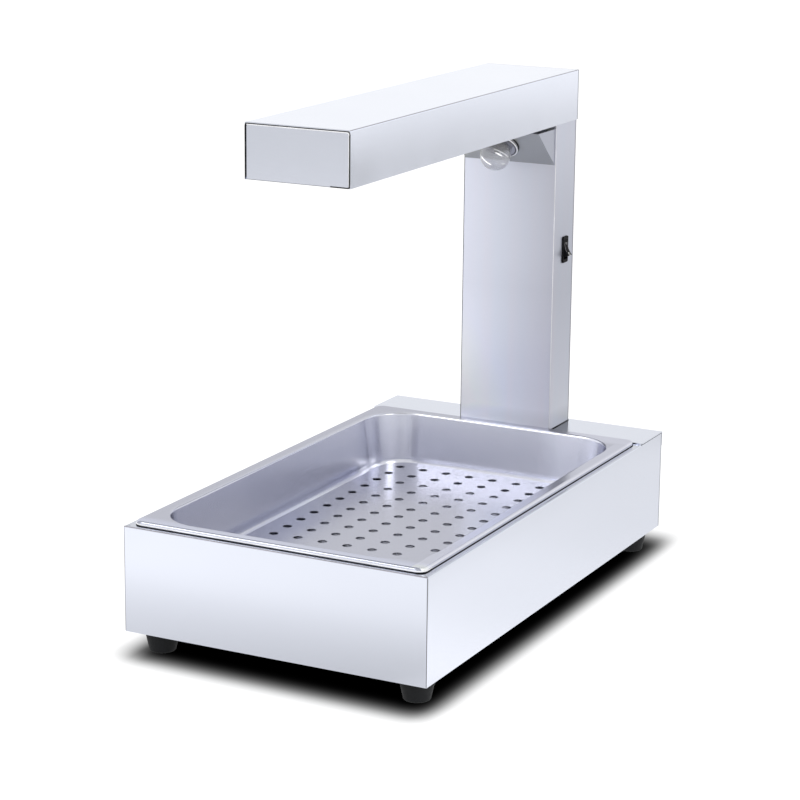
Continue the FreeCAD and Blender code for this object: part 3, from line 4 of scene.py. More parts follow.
import bmesh
import bpy
from mathutils import Matrix, Vector
from mathutils.bvhtree import BVHTree


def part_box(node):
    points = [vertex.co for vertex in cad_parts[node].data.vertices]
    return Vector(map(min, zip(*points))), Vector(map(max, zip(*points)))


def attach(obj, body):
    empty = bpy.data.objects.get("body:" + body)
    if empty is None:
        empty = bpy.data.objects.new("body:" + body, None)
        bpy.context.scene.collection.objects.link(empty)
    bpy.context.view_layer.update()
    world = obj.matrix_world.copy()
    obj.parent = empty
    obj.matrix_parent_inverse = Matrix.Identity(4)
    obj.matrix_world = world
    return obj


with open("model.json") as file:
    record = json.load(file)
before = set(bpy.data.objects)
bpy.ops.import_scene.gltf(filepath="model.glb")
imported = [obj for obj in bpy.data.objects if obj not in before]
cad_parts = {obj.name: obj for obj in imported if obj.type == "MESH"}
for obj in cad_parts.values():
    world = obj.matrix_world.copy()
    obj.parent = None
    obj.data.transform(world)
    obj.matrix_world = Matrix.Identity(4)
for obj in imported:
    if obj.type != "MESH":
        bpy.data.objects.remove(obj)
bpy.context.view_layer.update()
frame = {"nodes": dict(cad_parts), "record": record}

nodes = frame["nodes"]
scene = bpy.context.scene
scene.view_settings.view_transform = "Standard"

MM = 0.001
WHITE = (1.0, 1.0, 1.0, 1.0)
# From the base casing's lower edge to its deck.
BASE_HEIGHT = 0.111

# The camera that took the photograph, worked out from the object's edges.
# Its place is given in mm from the middle of the base's front edge at deck height.
CAMERA_PLACE = Vector((1185.733, -2054.739, 761.618)) * MM
CAMERA_AZIMUTH, CAMERA_ELEVATION, CAMERA_ROLL = 27.002, 14.419, 0.589
CAMERA_FOCUS_PIXELS, IMAGE_PIXELS, SENSOR_WIDTH = 2560.31, 800, 36.0
CLIP_NEAR, CLIP_FAR = 0.05, 60


def view_axes():
    """Unit vectors to the right of the photograph, up it, and out of it to the camera."""
    azimuth, elevation, roll = map(math.radians, (CAMERA_AZIMUTH, CAMERA_ELEVATION, CAMERA_ROLL))
    back = Vector((math.sin(azimuth) * math.cos(elevation),
                   -math.cos(azimuth) * math.cos(elevation), math.sin(elevation)))
    level = Vector((math.cos(azimuth), math.sin(azimuth), 0))
    upright = back.cross(level)
    return (level * math.cos(roll) + upright * math.sin(roll),
            upright * math.cos(roll) - level * math.sin(roll), back)


def make_camera():
    """The photograph's camera, placed from the base's front edge."""
    base_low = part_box("base_shell")[0]
    data = bpy.data.cameras.new("camera")
    data.sensor_width = SENSOR_WIDTH
    data.lens = CAMERA_FOCUS_PIXELS / IMAGE_PIXELS * SENSOR_WIDTH
    data.clip_start, data.clip_end = CLIP_NEAR, CLIP_FAR
    camera = bpy.data.objects.new("camera", data)
    scene.collection.objects.link(camera)
    turn = Matrix(view_axes()).transposed().to_4x4()
    place = CAMERA_PLACE + Vector((0, base_low.y, base_low.z + BASE_HEIGHT))
    camera.matrix_world = Matrix.Translation(place) @ turn
    scene.camera = camera


# Node helpers

class Shader:
    """Builds the nodes of one material, or of the world, with short calls."""

    def __init__(self, name, kind="Material"):
        makers = {"Material": bpy.data.materials, "World": bpy.data.worlds}
        self.owner = makers[kind].new(name)
        self.owner.use_nodes = True
        self.tree = self.owner.node_tree
        self.tree.nodes.clear()
        self.output = self.node("Output" + kind)

    def node(self, kind, **settings):
        made = self.tree.nodes.new("ShaderNode" + kind)
        for name, value in settings.items():
            setattr(made, name, value)
        return made

    def link(self, source, target):
        self.tree.links.new(source, target)

    def put(self, socket, value):
        """Links a socket to another, or sets its value."""
        if isinstance(value, bpy.types.NodeSocket):
            self.link(value, socket)
        else:
            socket.default_value = value

    def coordinates(self, scale=(1, 1, 1), turn=(0, 0, 0)):
        """The part's own coordinates in metres, stretched by a scale."""
        mapping = self.node("Mapping")
        mapping.inputs["Scale"].default_value = scale
        mapping.inputs["Rotation"].default_value = turn
        self.link(self.node("TexCoord").outputs["Object"], mapping.inputs["Vector"])
        return mapping.outputs["Vector"]

    def split(self, vector):
        """The X, Y and Z of a vector."""
        made = self.node("SeparateXYZ")
        self.link(vector, made.inputs[0])
        return made.outputs["X"], made.outputs["Y"], made.outputs["Z"]

    def place(self):
        """X, Y and Z of the part's own coordinates in metres."""
        return self.split(self.node("TexCoord").outputs["Object"])

    def facing(self):
        """X, Y and Z of the way the surface faces."""
        return self.split(self.node("NewGeometry").outputs["Normal"])

    def noise(self, vector, scale, detail=3, roughness=0.5):
        made = self.node("TexNoise")
        self.link(vector, made.inputs["Vector"])
        made.inputs["Scale"].default_value = scale
        made.inputs["Detail"].default_value = detail
        made.inputs["Roughness"].default_value = roughness
        return made.outputs["Fac"]

    def span(self, value, low, high, to_low=0.0, to_high=1.0):
        """Carries the range from low to high over to another, and holds it at its ends."""
        made = self.node("MapRange")
        for name, number in (("Value", value), ("From Min", low), ("From Max", high),
                             ("To Min", to_low), ("To Max", to_high)):
            self.put(made.inputs[name], number)
        return made.outputs["Result"]

    def spread(self, noise, to_low, to_high):
        """Carries the middle range of a noise, where most of it lies, over to another."""
        return self.span(noise, 0.3, 0.7, to_low, to_high)

    def math(self, operation, first, second=0.0):
        made = self.node("Math", operation=operation)
        self.put(made.inputs[0], first)
        self.put(made.inputs[1], second)
        return made.outputs[0]

    def times(self, first, second):
        return self.math("MULTIPLY", first, second)

    def plus(self, first, second):
        return self.math("ADD", first, second)

    def minus(self, first, second):
        return self.math("SUBTRACT", first, second)

    def blend(self, share, first, second):
        """The first value where the share is 0, and the second where it is 1."""
        return self.plus(self.times(second, share), self.times(first, self.minus(1.0, share)))

    def vector(self, operation, first, second=None):
        made = self.node("VectorMath", operation=operation)
        self.link(first, made.inputs[0])
        if second is not None:
            made.inputs[1].default_value = second
        return made.outputs["Value" if operation == "DOT_PRODUCT" else "Vector"]

    def mix(self, factor, first, second, blend="MIX"):
        made = self.node("Mix", data_type="RGBA", blend_type=blend)
        self.put(made.inputs["Factor"], factor)
        self.put(made.inputs[6], first)
        self.put(made.inputs[7], second)
        return made.outputs[2]

    def tinted(self, color, tint):
        """A colour multiplied by another."""
        return self.mix(1.0, color, tint, "MULTIPLY")

    def grey(self, level):
        made = self.node("CombineColor")
        for channel in ("Red", "Green", "Blue"):
            self.put(made.inputs[channel], level)
        return made.outputs["Color"]

    def bump(self, height, strength, distance):
        made = self.node("Bump")
        made.inputs["Strength"].default_value = strength
        made.inputs["Distance"].default_value = distance
        self.link(height, made.inputs["Height"])
        return made.outputs["Normal"]

    def surface(self, **inputs):
        """Joins a Principled surface to the output, and returns the material."""
        made = self.node("BsdfPrincipled")
        for name, value in inputs.items():
            self.put(made.inputs[name.replace("_", " ")], value)
        self.link(made.outputs["BSDF"], self.output.inputs["Surface"])
        return self.owner


def rgb(red, green, blue):
    return (red, green, blue, 1.0)


def scaled(color, factor, lift=0.0):
    """A colour with each channel multiplied by a factor and lifted a little."""
    return rgb(*(channel * factor + lift for channel in color))


# Materials

# How far a full bump stands out, on brushed sheet, on small textures and on glass.
GRAIN_BUMP, FINE_BUMP, GLASS_BUMP = 0.4 * MM, 0.3 * MM, 0.5 * MM
GLASS_IOR = 1.45
# How the noise of the hairline scratches is stretched and turned.
SCRATCH_STRETCH, SCRATCH_TURN = (3, 140, 90), (0.3, 0.2, 0.5)
# The painted highlights on the bulb, streaks that glow: two directions from its centre, half width
# and strength.
BULB_PAINTED_HIGHLIGHTS = (
    ((-0.64, -0.768, -0.001), (0.11, -0.862, -0.495), 0.037, 1.0),
    ((0.402, -0.856, 0.325), (0.771, -0.629, 0.094), 0.035, 0.9),
    ((0.236, -0.801, 0.55), (0.986, -0.169, -0.003), 0.022, 0.35),
    ((0.776, -0.451, -0.441), (0.802, -0.392, -0.451), 0.035, 0.6))
# Across, a painted highlight fades out between these shares of its half width. Along, it fades in
# between these steps from the cosine of its ends to its middle.
HIGHLIGHT_FADE_ACROSS, HIGHLIGHT_FADE_ALONG = (0.5, 1.4), (-0.02, 0.03)


def steel(name, color, roughness, grain=(1, 60, 60), grain_depth=0.03, metallic=1.0,
          edge=(1.0, 1.0, 1.0), painted_top_shade=1.0, shade=None):
    """Stainless steel sheet: fine brushed grain, soft smudges and rare hairline scratches.

    Grain stretches the brushing along each axis, edge is the colour at a shallow angle,
    painted_top_shade darkens the faces that look up with painted shade, and shade makes a colour of
    painted light and shade that the steel is multiplied by.
    """
    rough_spread, smudge, grain_tone, scratch_depth = 0.03, 0.05, 0.975, 0.6
    shader = Shader(name)
    fine = shader.noise(shader.coordinates(grain), scale=90, detail=4, roughness=0.65)
    coarse = shader.noise(shader.coordinates(), scale=7)
    rough = shader.plus(
        shader.spread(fine, roughness - rough_spread, roughness + rough_spread),
        shader.span(coarse, 0.35, 0.7, 0.0, smudge))
    tone = shader.mix(shader.span(fine, 0.35, 0.65), scaled(color, grain_tone), rgb(*color))
    # Painted shade on the faces that look up.
    if painted_top_shade != 1.0:
        up = shader.facing()[2]
        tone = shader.tinted(tone, shader.grey(shader.span(up, 0.5, 0.9, 1.0, painted_top_shade)))
    # Painted light and shade at fixed places.
    if shade is not None:
        tone = shader.tinted(tone, shade(shader))
    scratch = shader.noise(shader.coordinates(SCRATCH_STRETCH, SCRATCH_TURN), scale=30, detail=2)
    scratches = shader.times(shader.span(scratch, 0.70, 0.76), scratch_depth)
    return shader.surface(
        Base_Color=tone, Metallic=metallic, Roughness=rough, Specular_Tint=rgb(*edge),
        Normal=shader.bump(shader.minus(fine, scratches), grain_depth, GRAIN_BUMP))


def plain_metal(name, color, roughness, wear=0.08):
    """Small turned or pressed metal pieces with uneven sheen."""
    shader = Shader(name)
    spots = shader.noise(shader.coordinates(), scale=160, detail=4)
    return shader.surface(
        Base_Color=shader.mix(spots, scaled(color, 0.9), rgb(*color)), Metallic=1.0,
        Roughness=shader.spread(spots, roughness, roughness + wear),
        Normal=shader.bump(spots, 0.08, FINE_BUMP))


def moulded(name, color, roughness, gloss=0.5):
    """Moulded plastic or rubber with a fine spark-eroded texture and a little dust."""
    rough_spread = 0.06
    shader = Shader(name)
    texture = shader.noise(shader.coordinates(), scale=400, roughness=0.6)
    dust = shader.noise(shader.coordinates(), scale=25, detail=4)
    dusty = scaled(color, 1.5, lift=0.004)
    return shader.surface(
        Base_Color=shader.mix(shader.span(dust, 0.45, 0.75), rgb(*color), dusty),
        Roughness=shader.spread(texture, roughness - rough_spread, roughness + rough_spread),
        Specular_IOR_Level=gloss, Normal=shader.bump(texture, 0.15, FINE_BUMP))


def foot_rubber(name):
    """Black rubber with painted shade darkening its top under the casing, and dust near the floor.
    """
    shader = Shader(name)
    # Painted shade: the rubber darkens towards its top, under the casing.
    shadow = shader.span(shader.place()[2], 0.010, 0.025, 1.0, 0.35)
    texture = shader.noise(shader.coordinates(), scale=400, roughness=0.6)
    dust = shader.noise(shader.coordinates(), scale=40, detail=4)
    clean, dusty = rgb(0.006, 0.007, 0.0085), rgb(0.010, 0.011, 0.013)
    tone = shader.mix(shader.span(dust, 0.4, 0.75), clean, dusty)
    return shader.surface(
        Base_Color=shader.tinted(tone, shader.grey(shadow)),
        Roughness=shader.spread(texture, 0.55, 0.68), Specular_IOR_Level=0.32,
        Normal=shader.bump(texture, 0.2, FINE_BUMP))


def glass_ripple(shader):
    """The faint unevenness of drawn or blown glass."""
    return shader.bump(shader.noise(shader.coordinates(), scale=60, detail=2), 0.02, GLASS_BUMP)


def clear_glass(name, tint=(1.0, 1.0, 1.0)):
    """Thin clear glass with a faint unevenness."""
    shader = Shader(name)
    return shader.surface(Base_Color=rgb(*tint), Roughness=0.01, IOR=GLASS_IOR,
                          Transmission_Weight=1.0, Normal=glass_ripple(shader))


def bulb_glass(name):
    """Slightly milky clear glass with painted highlights: streaks that glow at fixed places on the
    ball.
    """
    low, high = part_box("bulb_glass")
    radius = (high.x - low.x) / 2
    centre = Vector((0, low.y + radius, low.z + radius))
    shader = Shader(name)
    away = shader.vector("SUBTRACT", shader.node("TexCoord").outputs["Object"], centre)
    direction = shader.vector("NORMALIZE", away)
    core, fringe = HIGHLIGHT_FADE_ACROSS
    before, past = HIGHLIGHT_FADE_ALONG
    # The painted highlights: streaks that glow at fixed places on the ball.
    bright = 0.0
    for start, end, width, strength in BULB_PAINTED_HIGHLIGHTS:
        start, end = Vector(start).normalized(), Vector(end).normalized()
        middle = (start + end).normalized()
        reach = start.dot(middle)
        across = shader.math("ABSOLUTE", shader.vector(
            "DOT_PRODUCT", direction, start.cross(end).normalized()))
        along = shader.vector("DOT_PRODUCT", direction, middle)
        line = shader.times(shader.span(across, width * core, width * fringe, 1.0, 0.0),
                            shader.span(along, reach + before, reach + past))
        bright = shader.plus(shader.times(line, strength), bright)
    # Where the painted highlights lie, the glass glows and lets less light through.
    return shader.surface(
        Base_Color=rgb(0.93, 0.935, 0.96), Roughness=0.02, IOR=GLASS_IOR,
        Transmission_Weight=shader.span(bright, 0.0, 1.0, 0.80, 0.3), Emission_Color=WHITE,
        Emission_Strength=shader.times(bright, 0.7), Normal=glass_ripple(shader))


def ceramic(name, color):
    """Unglazed ceramic with a fine speckle."""
    shader = Shader(name)
    speckle = shader.noise(shader.coordinates(), scale=220, detail=4, roughness=0.7)
    return shader.surface(
        Base_Color=shader.mix(speckle, rgb(*color), scaled(color, 0.86)),
        Roughness=shader.spread(speckle, 0.55, 0.75),
        Normal=shader.bump(speckle, 0.1, FINE_BUMP))


# Painted light and shade of the steel at fixed places, as colours that a steel is multiplied by.
# All places are in the part's own metres, and all levels are shares of the steel's tone.
# The painted shade line at the rear starts and reaches its full depth this far before a piece's
# rear edge.
REAR_SHADE_START, REAR_SHADE_FULL, REAR_SHADE_LEVEL = 2.6 * MM, 1.8 * MM, 0.45
COLUMN_HALF_WIDTH, COLUMN_FOOT = 0.055, 0.138
# The painted light level of the pan's front rim behind the painted dull line, and where it has
# faded out.
RIM_FRONT_LEVEL, RIM_FRONT_END = 1.20, -0.284


def painted_rear_shade(shader, node):
    """A painted shade line down the rear edge of a piece's sides, where its sheet is folded."""
    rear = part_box(node)[1].y
    return shader.span(shader.place()[1], rear - REAR_SHADE_START, rear - REAR_SHADE_FULL,
                       1.0, REAR_SHADE_LEVEL)


def base_shade(shader):
    """The base's painted shade line at its rear edge."""
    return shader.grey(painted_rear_shade(shader, "base_shell"))


def hood_shade(shader):
    """The hood's painted shade line at its rear edge."""
    return shader.grey(painted_rear_shade(shader, "hood_shell"))


def column_shade(shader):
    """The column's painted light and shade: lighter to the left and at the foot, with a painted
    dark band right at the foot, and faint coloured bands.

    Its side face has painted light that grows towards its top, and painted shade where other steel
    mirrors it.
    """
    x, _, z = shader.place()
    # Painted light to the left and on the foot, and painted shade in a band right at the foot,
    # where the tone is also less blue.
    across = shader.span(x, -COLUMN_HALF_WIDTH, COLUMN_HALF_WIDTH, 1.36, 0.94)
    painted_foot_light = shader.span(z, 0.16, 0.30, 1.28, 1.0)
    painted_foot_shade = shader.span(z, COLUMN_FOOT, 0.160, 0.78, 1.0)
    level = shader.grey(shader.times(across, shader.times(painted_foot_light, painted_foot_shade)))
    warm = shader.tinted(level, rgb(1.0, 1.0, 0.965))
    level = shader.mix(shader.span(z, COLUMN_FOOT, 0.200, 1.0, 0.0), level, warm)

    bands = shader.noise(shader.coordinates((1, 1, 0.02)), scale=38, detail=2)
    cast = shader.mix(shader.span(bands, 0.35, 0.65), rgb(0.985, 0.995, 1.02),
                      rgb(1.02, 0.985, 1.0))

    # Painted light on the side face towards its top, painted shade on it in reflections, and the
    # painted shade line at the rear edge.
    side = shader.span(shader.facing()[0], 0.4, 0.6)
    lower = shader.span(z, 0.17, 0.30, 0.94, 0.99)
    upper = shader.span(z, 0.36, 0.47, 1.0, 1.12)
    rise = shader.blend(side, 1.0, shader.times(lower, upper))
    mirrored = shader.times(shader.node("LightPath").outputs["Is Glossy Ray"], side)
    dim = shader.times(shader.span(mirrored, 0.0, 1.0, 1.0, 0.4),
                       painted_rear_shade(shader, "column_shell"))
    for tint in (shader.grey(rise), cast, shader.grey(dim)):
        level = shader.tinted(level, tint)
    return level


def rim_shade(shader):
    """The pan's rim, with painted light and shade: a painted highlight low on its front edge, with
    a fine painted dull line over it.

    Behind that line the front has a little painted light and a cooler painted reflection, and the
    right and the rear have painted light too.
    """
    x, y, _ = shader.place()
    # Painted highlight low on the front edge, a painted dull line over it and painted light behind
    # it, fading out; painted light on the right and at the rear.
    edge = shader.span(y, -0.3031, -0.3028, 1.60, 1.0)
    painted_dull_line = shader.span(y, -0.3010, -0.3006, 0.62, RIM_FRONT_LEVEL)
    fade = shader.span(y, -0.296, RIM_FRONT_END, 1.0, 1 / RIM_FRONT_LEVEL)
    front = shader.times(shader.times(edge, painted_dull_line), fade)
    right = shader.span(x, 0.1475, 0.1495, 1.0, 1.14)
    rear = shader.times(shader.span(y, 0.195, 0.205, 0.0, 0.2), shader.span(x, 0.05, 0.08))
    level = shader.times(front, shader.math("MAXIMUM", right, shader.plus(rear, 1.0)))
    # Painted reflection: a cooler tint behind the front's dull line.
    cast = shader.mix(shader.span(y, -0.299, RIM_FRONT_END, 1.0, 0.0), WHITE, rgb(0.97, 0.99, 1.05))
    return shader.tinted(shader.grey(level), cast)


def cheek_shade(shader):
    """Painted reflection: the lamp plate's side cheeks are tinted cooler than its slope."""
    side = shader.math("ABSOLUTE", shader.facing()[0])
    return shader.mix(shader.span(side, 0.5, 0.8), WHITE, rgb(0.97, 0.98, 1.12))


TINT = (0.835, 0.865, 0.96)
POLISH = 0.12
# One material for each slot of the record.
MATERIALS = {
    "casing_steel": steel("casing_steel", TINT, POLISH),
    "inner_steel": steel("inner_steel", (0.52, 0.53, 0.55), 0.42, grain=(30, 30, 30)),
    # The pan's steel carries the rim's painted light and shade.
    "pan_steel": steel("pan_steel", (0.74, 0.75, 0.82), 0.2, grain=(20, 20, 20),
                       grain_depth=0.04, edge=(0.62, 0.62, 0.66), shade=rim_shade),
    "fastener_steel": plain_metal("fastener_steel", (0.62, 0.62, 0.65), 0.3),
    "foot_rubber": foot_rubber("foot_rubber"),
    "reflector_aluminium": steel("reflector_aluminium", (0.86, 0.86, 0.87), 0.16,
                                 grain=(60, 2, 60)),
    "quartz_glass": clear_glass("quartz_glass", (0.97, 0.95, 0.93)),
    "heating_wire": plain_metal("heating_wire", (0.30, 0.22, 0.17), 0.5),
    "white_ceramic": ceramic("white_ceramic", (0.83, 0.81, 0.77)),
    "lamp_chrome": plain_metal("lamp_chrome", (0.50, 0.50, 0.52), 0.22, wear=0.05),
    "bulb_clear_glass": bulb_glass("lamp_ball_glass"),
    "stem_glass": clear_glass("stem_glass", (0.93, 0.92, 0.88)),
    "cap_brass": plain_metal("cap_brass", (0.80, 0.74, 0.62), 0.28),
    "switch_black": moulded("switch_black", (0.004, 0.004, 0.005), 0.5, gloss=0.08),
    "rocker_black": moulded("rocker_black", (0.004, 0.004, 0.005), 0.5, gloss=0.06),
    "gland_plastic": moulded("gland_plastic", (0.02, 0.02, 0.022), 0.5),
    "wire_insulation": moulded("wire_insulation", (0.62, 0.60, 0.55), 0.6),
}
# The nodes whose steel differs from the rest of their slot's: each carries painted light and shade,
# and the column's and the lamp plate's steels are also darker, rougher and less metallic.
OWN_STEELS = {
    "column_shell": steel("column_steel", (0.61, 0.63, 0.70), 0.36, metallic=0.85,
                          shade=column_shade),
    "base_shell": steel("base_steel", TINT, POLISH, painted_top_shade=0.80, shade=base_shade),
    "hood_shell": steel("hood_steel", TINT, POLISH, shade=hood_shade),
    "rear_shelf": steel("shelf_steel", TINT, POLISH, painted_top_shade=0.94),
    "lamp_bracket": steel("slope_steel", (0.50, 0.51, 0.51), 0.36, metallic=0.85,
                          shade=cheek_shade),
}
MARK_WHITE = moulded("mark_white", (0.85, 0.85, 0.83), 0.6)
# Colours of the added lines: black for painted shadow lines and painted dark reflection arcs, grey
# and pale for joint lines and painted shade lines, pale also for painted highlights on the rocker's
# edges, and a bright one for painted highlights.
PAINTED_SHADE_BLACK = moulded("painted_shade_black", (0.006, 0.006, 0.007), 0.5, gloss=0.2)
JOINT_AND_PAINTED_SHADE_GREY = moulded("joint_and_painted_shade_grey", (0.10, 0.10, 0.115), 0.5)
JOINT_AND_PAINTED_LIGHT_PALE = moulded("joint_and_painted_light_pale", (0.30, 0.28, 0.32), 0.5)
PAINTED_HIGHLIGHT = moulded("painted_highlight", (0.90, 0.90, 0.92), 0.4)


def dress_cad():
    """Gives each carried-over CAD node its own steel or the material of its slot."""
    slots = {entry["node"]: entry["material_slot"] for entry in frame["record"]["subparts"]}
    for name, piece in nodes.items():
        piece.data.materials.clear()
        piece.data.materials.append(OWN_STEELS.get(name, MATERIALS[slots[name]]))


# Pieces added to the CAD ones

BEAD_SIDES = 8


def make_piece(name, corners, faces, material, body):
    """A smooth piece that rides on a body."""
    mesh = bpy.data.meshes.new(name)
    mesh.from_pydata([tuple(corner) for corner in corners], [], faces)
    mesh.materials.append(material)
    piece = bpy.data.objects.new(name, mesh)
    scene.collection.objects.link(piece)
    work = bmesh.new()
    work.from_mesh(mesh)
    bmesh.ops.recalc_face_normals(work, faces=work.faces)
    work.to_mesh(mesh)
    work.free()
    for face in mesh.polygons:
        face.use_smooth = True
    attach(piece, body)


def bead(name, path, radius, material, body="warmer"):
    """A thin round bead that follows a line of points, closed at both ends."""
    path = [Vector(point) for point in path]
    corners, faces, across = [], [], None
    for index, point in enumerate(path):
        before, after = path[max(index - 1, 0)], path[min(index + 1, len(path) - 1)]
        along = (after - before).normalized()
        if across is None:
            across = along.orthogonal()
        across = (across - along * across.dot(along)).normalized()
        other = along.cross(across)
        for step in range(BEAD_SIDES):
            angle = math.tau * step / BEAD_SIDES
            corners.append(point + (across * math.cos(angle) + other * math.sin(angle)) * radius)
    for first in range(0, len(corners) - BEAD_SIDES, BEAD_SIDES):
        for step in range(BEAD_SIDES):
            here, there = first + step, first + (step + 1) % BEAD_SIDES
            faces.append((here, there, there + BEAD_SIDES, here + BEAD_SIDES))
    faces.append(tuple(range(BEAD_SIDES)))
    faces.append(tuple(range(len(corners) - BEAD_SIDES, len(corners))))
    make_piece(name, corners, faces, material, body)


def bend_path(points, radius, steps=4):
    """A line of points with its inner corners rounded."""
    points = [Vector(point) for point in points]
    path = [points[0]]
    for before, corner, after in zip(points, points[1:], points[2:]):
        start = corner + (before - corner).normalized() * radius
        end = corner + (after - corner).normalized() * radius
        for step in range(steps + 1):
            share = step / steps
            path.append(start.lerp(corner, share).lerp(corner.lerp(end, share), share))
    path.append(points[-1])
    return path


def make_base_joints_and_shade_lines():
    """Joint lines at the base casing's corners and mitres, a painted shade line on its front top
    fold, and painted shade lines in the crevices beside the strip behind the pan.
    """
    low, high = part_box("base_shell")
    top, inset = low.z + BASE_HEIGHT, 0.45 * MM
    left, right, near, rear = low.x + inset, high.x - inset, low.y + inset, high.y - inset
    bottom, lid = low.z + 0.5 * MM, top - 1.2 * MM
    for name, x, y, radius, material in (
            ("front_right", right, near, 0.42 * MM, JOINT_AND_PAINTED_SHADE_GREY),
            ("front_left", left, near, 0.36 * MM, JOINT_AND_PAINTED_LIGHT_PALE),
            ("rear_right", right, rear, 0.44 * MM, JOINT_AND_PAINTED_LIGHT_PALE),
            ("rear_left", left, rear, 0.44 * MM, JOINT_AND_PAINTED_LIGHT_PALE)):
        bead("base_seam_" + name, [(x, y, bottom), (x, y, lid)], radius, material)
    # A painted shade line on the front top fold.
    fold = 0.52 * MM
    bead("base_front_fold_shade", [(left, low.y + fold, top - fold), (right, low.y + fold, top - fold)],
         0.5 * MM, JOINT_AND_PAINTED_LIGHT_PALE)
    mitre, line = 4.5 * MM, top - 0.45 * MM
    shelf_low, shelf_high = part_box("rear_shelf")
    for side, x, inward in (("left", left, 1), ("right", right, -1)):
        bead("base_mitre_" + side, [(x + inward * mitre, near + mitre, top - 0.2 * MM),
                                    (x, near, top - 0.4 * MM)], 0.4 * MM, JOINT_AND_PAINTED_SHADE_GREY)
        # Painted shade in the crevice between the shelf and each side.
        edge = x + inward * 0.12 * MM
        bead("shelf_shade_line_" + side, [(edge, shelf_low.y, line), (edge, shelf_high.y - inset, line)],
             0.55 * MM, PAINTED_SHADE_BLACK)


def make_pan_lines():
    """A painted shadow line round the pan's opening, and a painted highlight on the edge of the
    pan's front rim.
    """
    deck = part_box("base_shell")[0].z + BASE_HEIGHT
    low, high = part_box("food_pan")
    gap, corner, steps = 0.1 * MM, 10 * MM, 10
    side, near, far, line = high.x + gap, low.y - gap, high.y + gap, deck + 0.45 * MM
    # Painted shadow line on the deck under the pan's rim.
    loop = bend_path([(0, near, line), (side, near, line), (side, far, line), (-side, far, line),
                      (-side, near, line), (0, near, line)], corner, steps)
    bead("well_rim_shadow_line", loop, 0.36 * MM, PAINTED_SHADE_BLACK)
    # Painted highlight along the pan's front rim.
    inset, lip = 0.3 * MM, high.z - 3.3 * MM
    side, front, behind = side - inset, near + inset, near + 18 * MM
    bead("pan_rim_highlight", bend_path([
        (-side, behind, lip), (-side, front, lip), (side, front, lip), (side, behind, lip)],
        corner, steps), 0.7 * MM, PAINTED_HIGHLIGHT, "pan")


def make_column_shade_lines():
    """Painted shadow lines under the column's sides, and painted shade and highlight lines up its
    corners.
    """
    low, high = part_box("column_shell")
    foot = low.z + 0.45 * MM
    # Painted shadow lines on the deck under the column's sides.
    for side, x in (("left", low.x), ("right", high.x)):
        bead("column_foot_shadow_" + side, [(x, low.y + 3 * MM, foot), (x, high.y, foot)],
             0.55 * MM, PAINTED_SHADE_BLACK)
    hood_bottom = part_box("hood_shell")[0].z
    bottom, inset = low.z + 1 * MM, 0.3 * MM
    left, right, near, rear = low.x + inset, high.x - inset, low.y + inset, high.y - inset
    # Painted shade up the front-left and rear-right corners, and a painted highlight up the
    # front-right corner.
    for name, x, y, material in (("column_left_edge_shade", left, near, JOINT_AND_PAINTED_SHADE_GREY),
                                 ("column_right_edge_highlight", right, near, PAINTED_HIGHLIGHT),
                                 ("column_rear_edge_shade", right, rear, JOINT_AND_PAINTED_LIGHT_PALE)):
        bead(name, [(x, y, bottom), (x, y, hood_bottom)], 0.36 * MM, material)


def make_hood_shade_lines():
    """Painted shade lines on the edges of the hood's right side, and a painted shadow line where it
    sits over the column.
    """
    low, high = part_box("hood_shell")
    inset = 0.4 * MM
    side, rear, top = high.x - inset, high.y - inset, high.z - inset
    # Painted shade lines along the top and rear edges of the right side.
    bead("hood_top_right_edge_shade", [(side, low.y + 1 * MM, top), (side, rear, top)],
         0.3 * MM, JOINT_AND_PAINTED_LIGHT_PALE)
    bead("hood_rear_right_edge_shade", [(side, rear, low.z + 1 * MM), (side, rear, top)],
         0.38 * MM, JOINT_AND_PAINTED_LIGHT_PALE)
    # Painted shadow line under the hood's right edge, over the column.
    column_near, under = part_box("column_shell")[0].y, low.z + 0.3 * MM
    bead("hood_shadow_over_column", [(side, column_near, under), (side, rear, under)],
         0.38 * MM, JOINT_AND_PAINTED_SHADE_GREY)


def make_hood_cap_shadow_and_highlight():
    """A painted shadow line in the gap round the hood's front face, and a painted highlight on the
    face's edge inside it.
    """
    low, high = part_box("hood_front_cap")
    face, slit, split = low.y + 0.2 * MM, 0.55 * MM, high.x - 20 * MM
    left, right, bottom, top = low.x - slit, high.x + slit, low.z + 0.4 * MM, high.z + slit
    # Painted shadow in the gap round the cap's face, heavier at its lower right corner and thin and
    # grey along its bottom.
    bead("hood_cap_gap_shadow", bend_path([
        (right, face, low.z + 4 * MM), (right, face, top), (left, face, top),
        (left, face, bottom)], 2.6 * MM), 0.58 * MM, PAINTED_SHADE_BLACK)
    proud, corner = face - 0.5 * MM, bottom + 0.2 * MM
    bead("hood_cap_corner_gap_shadow", bend_path([
        (split, proud, corner), (right, proud, corner),
        (right, face - 0.4 * MM, high.z - 3 * MM)], 1.8 * MM), 0.6 * MM, PAINTED_SHADE_BLACK)
    lower = low.z + 0.3 * MM
    bead("hood_cap_lower_gap_shadow", [(left, face, lower), (split, face, lower)],
         0.3 * MM, JOINT_AND_PAINTED_SHADE_GREY)
    side, upper = high.x - 0.35 * MM, high.z - 0.35 * MM
    # Painted highlight on the face's right and top edges.
    bead("hood_cap_edge_highlight", bend_path([
        (side, face, bottom + 1.2 * MM), (side, face, upper), (low.x + 1.2 * MM, face, upper)],
        2.2 * MM), 0.65 * MM, PAINTED_HIGHLIGHT)


# The lamp's ring

LAMP_AXIS = Vector((0.0, -0.6608, -0.7506)).normalized()
RING_THICKNESS = 4.0 * MM
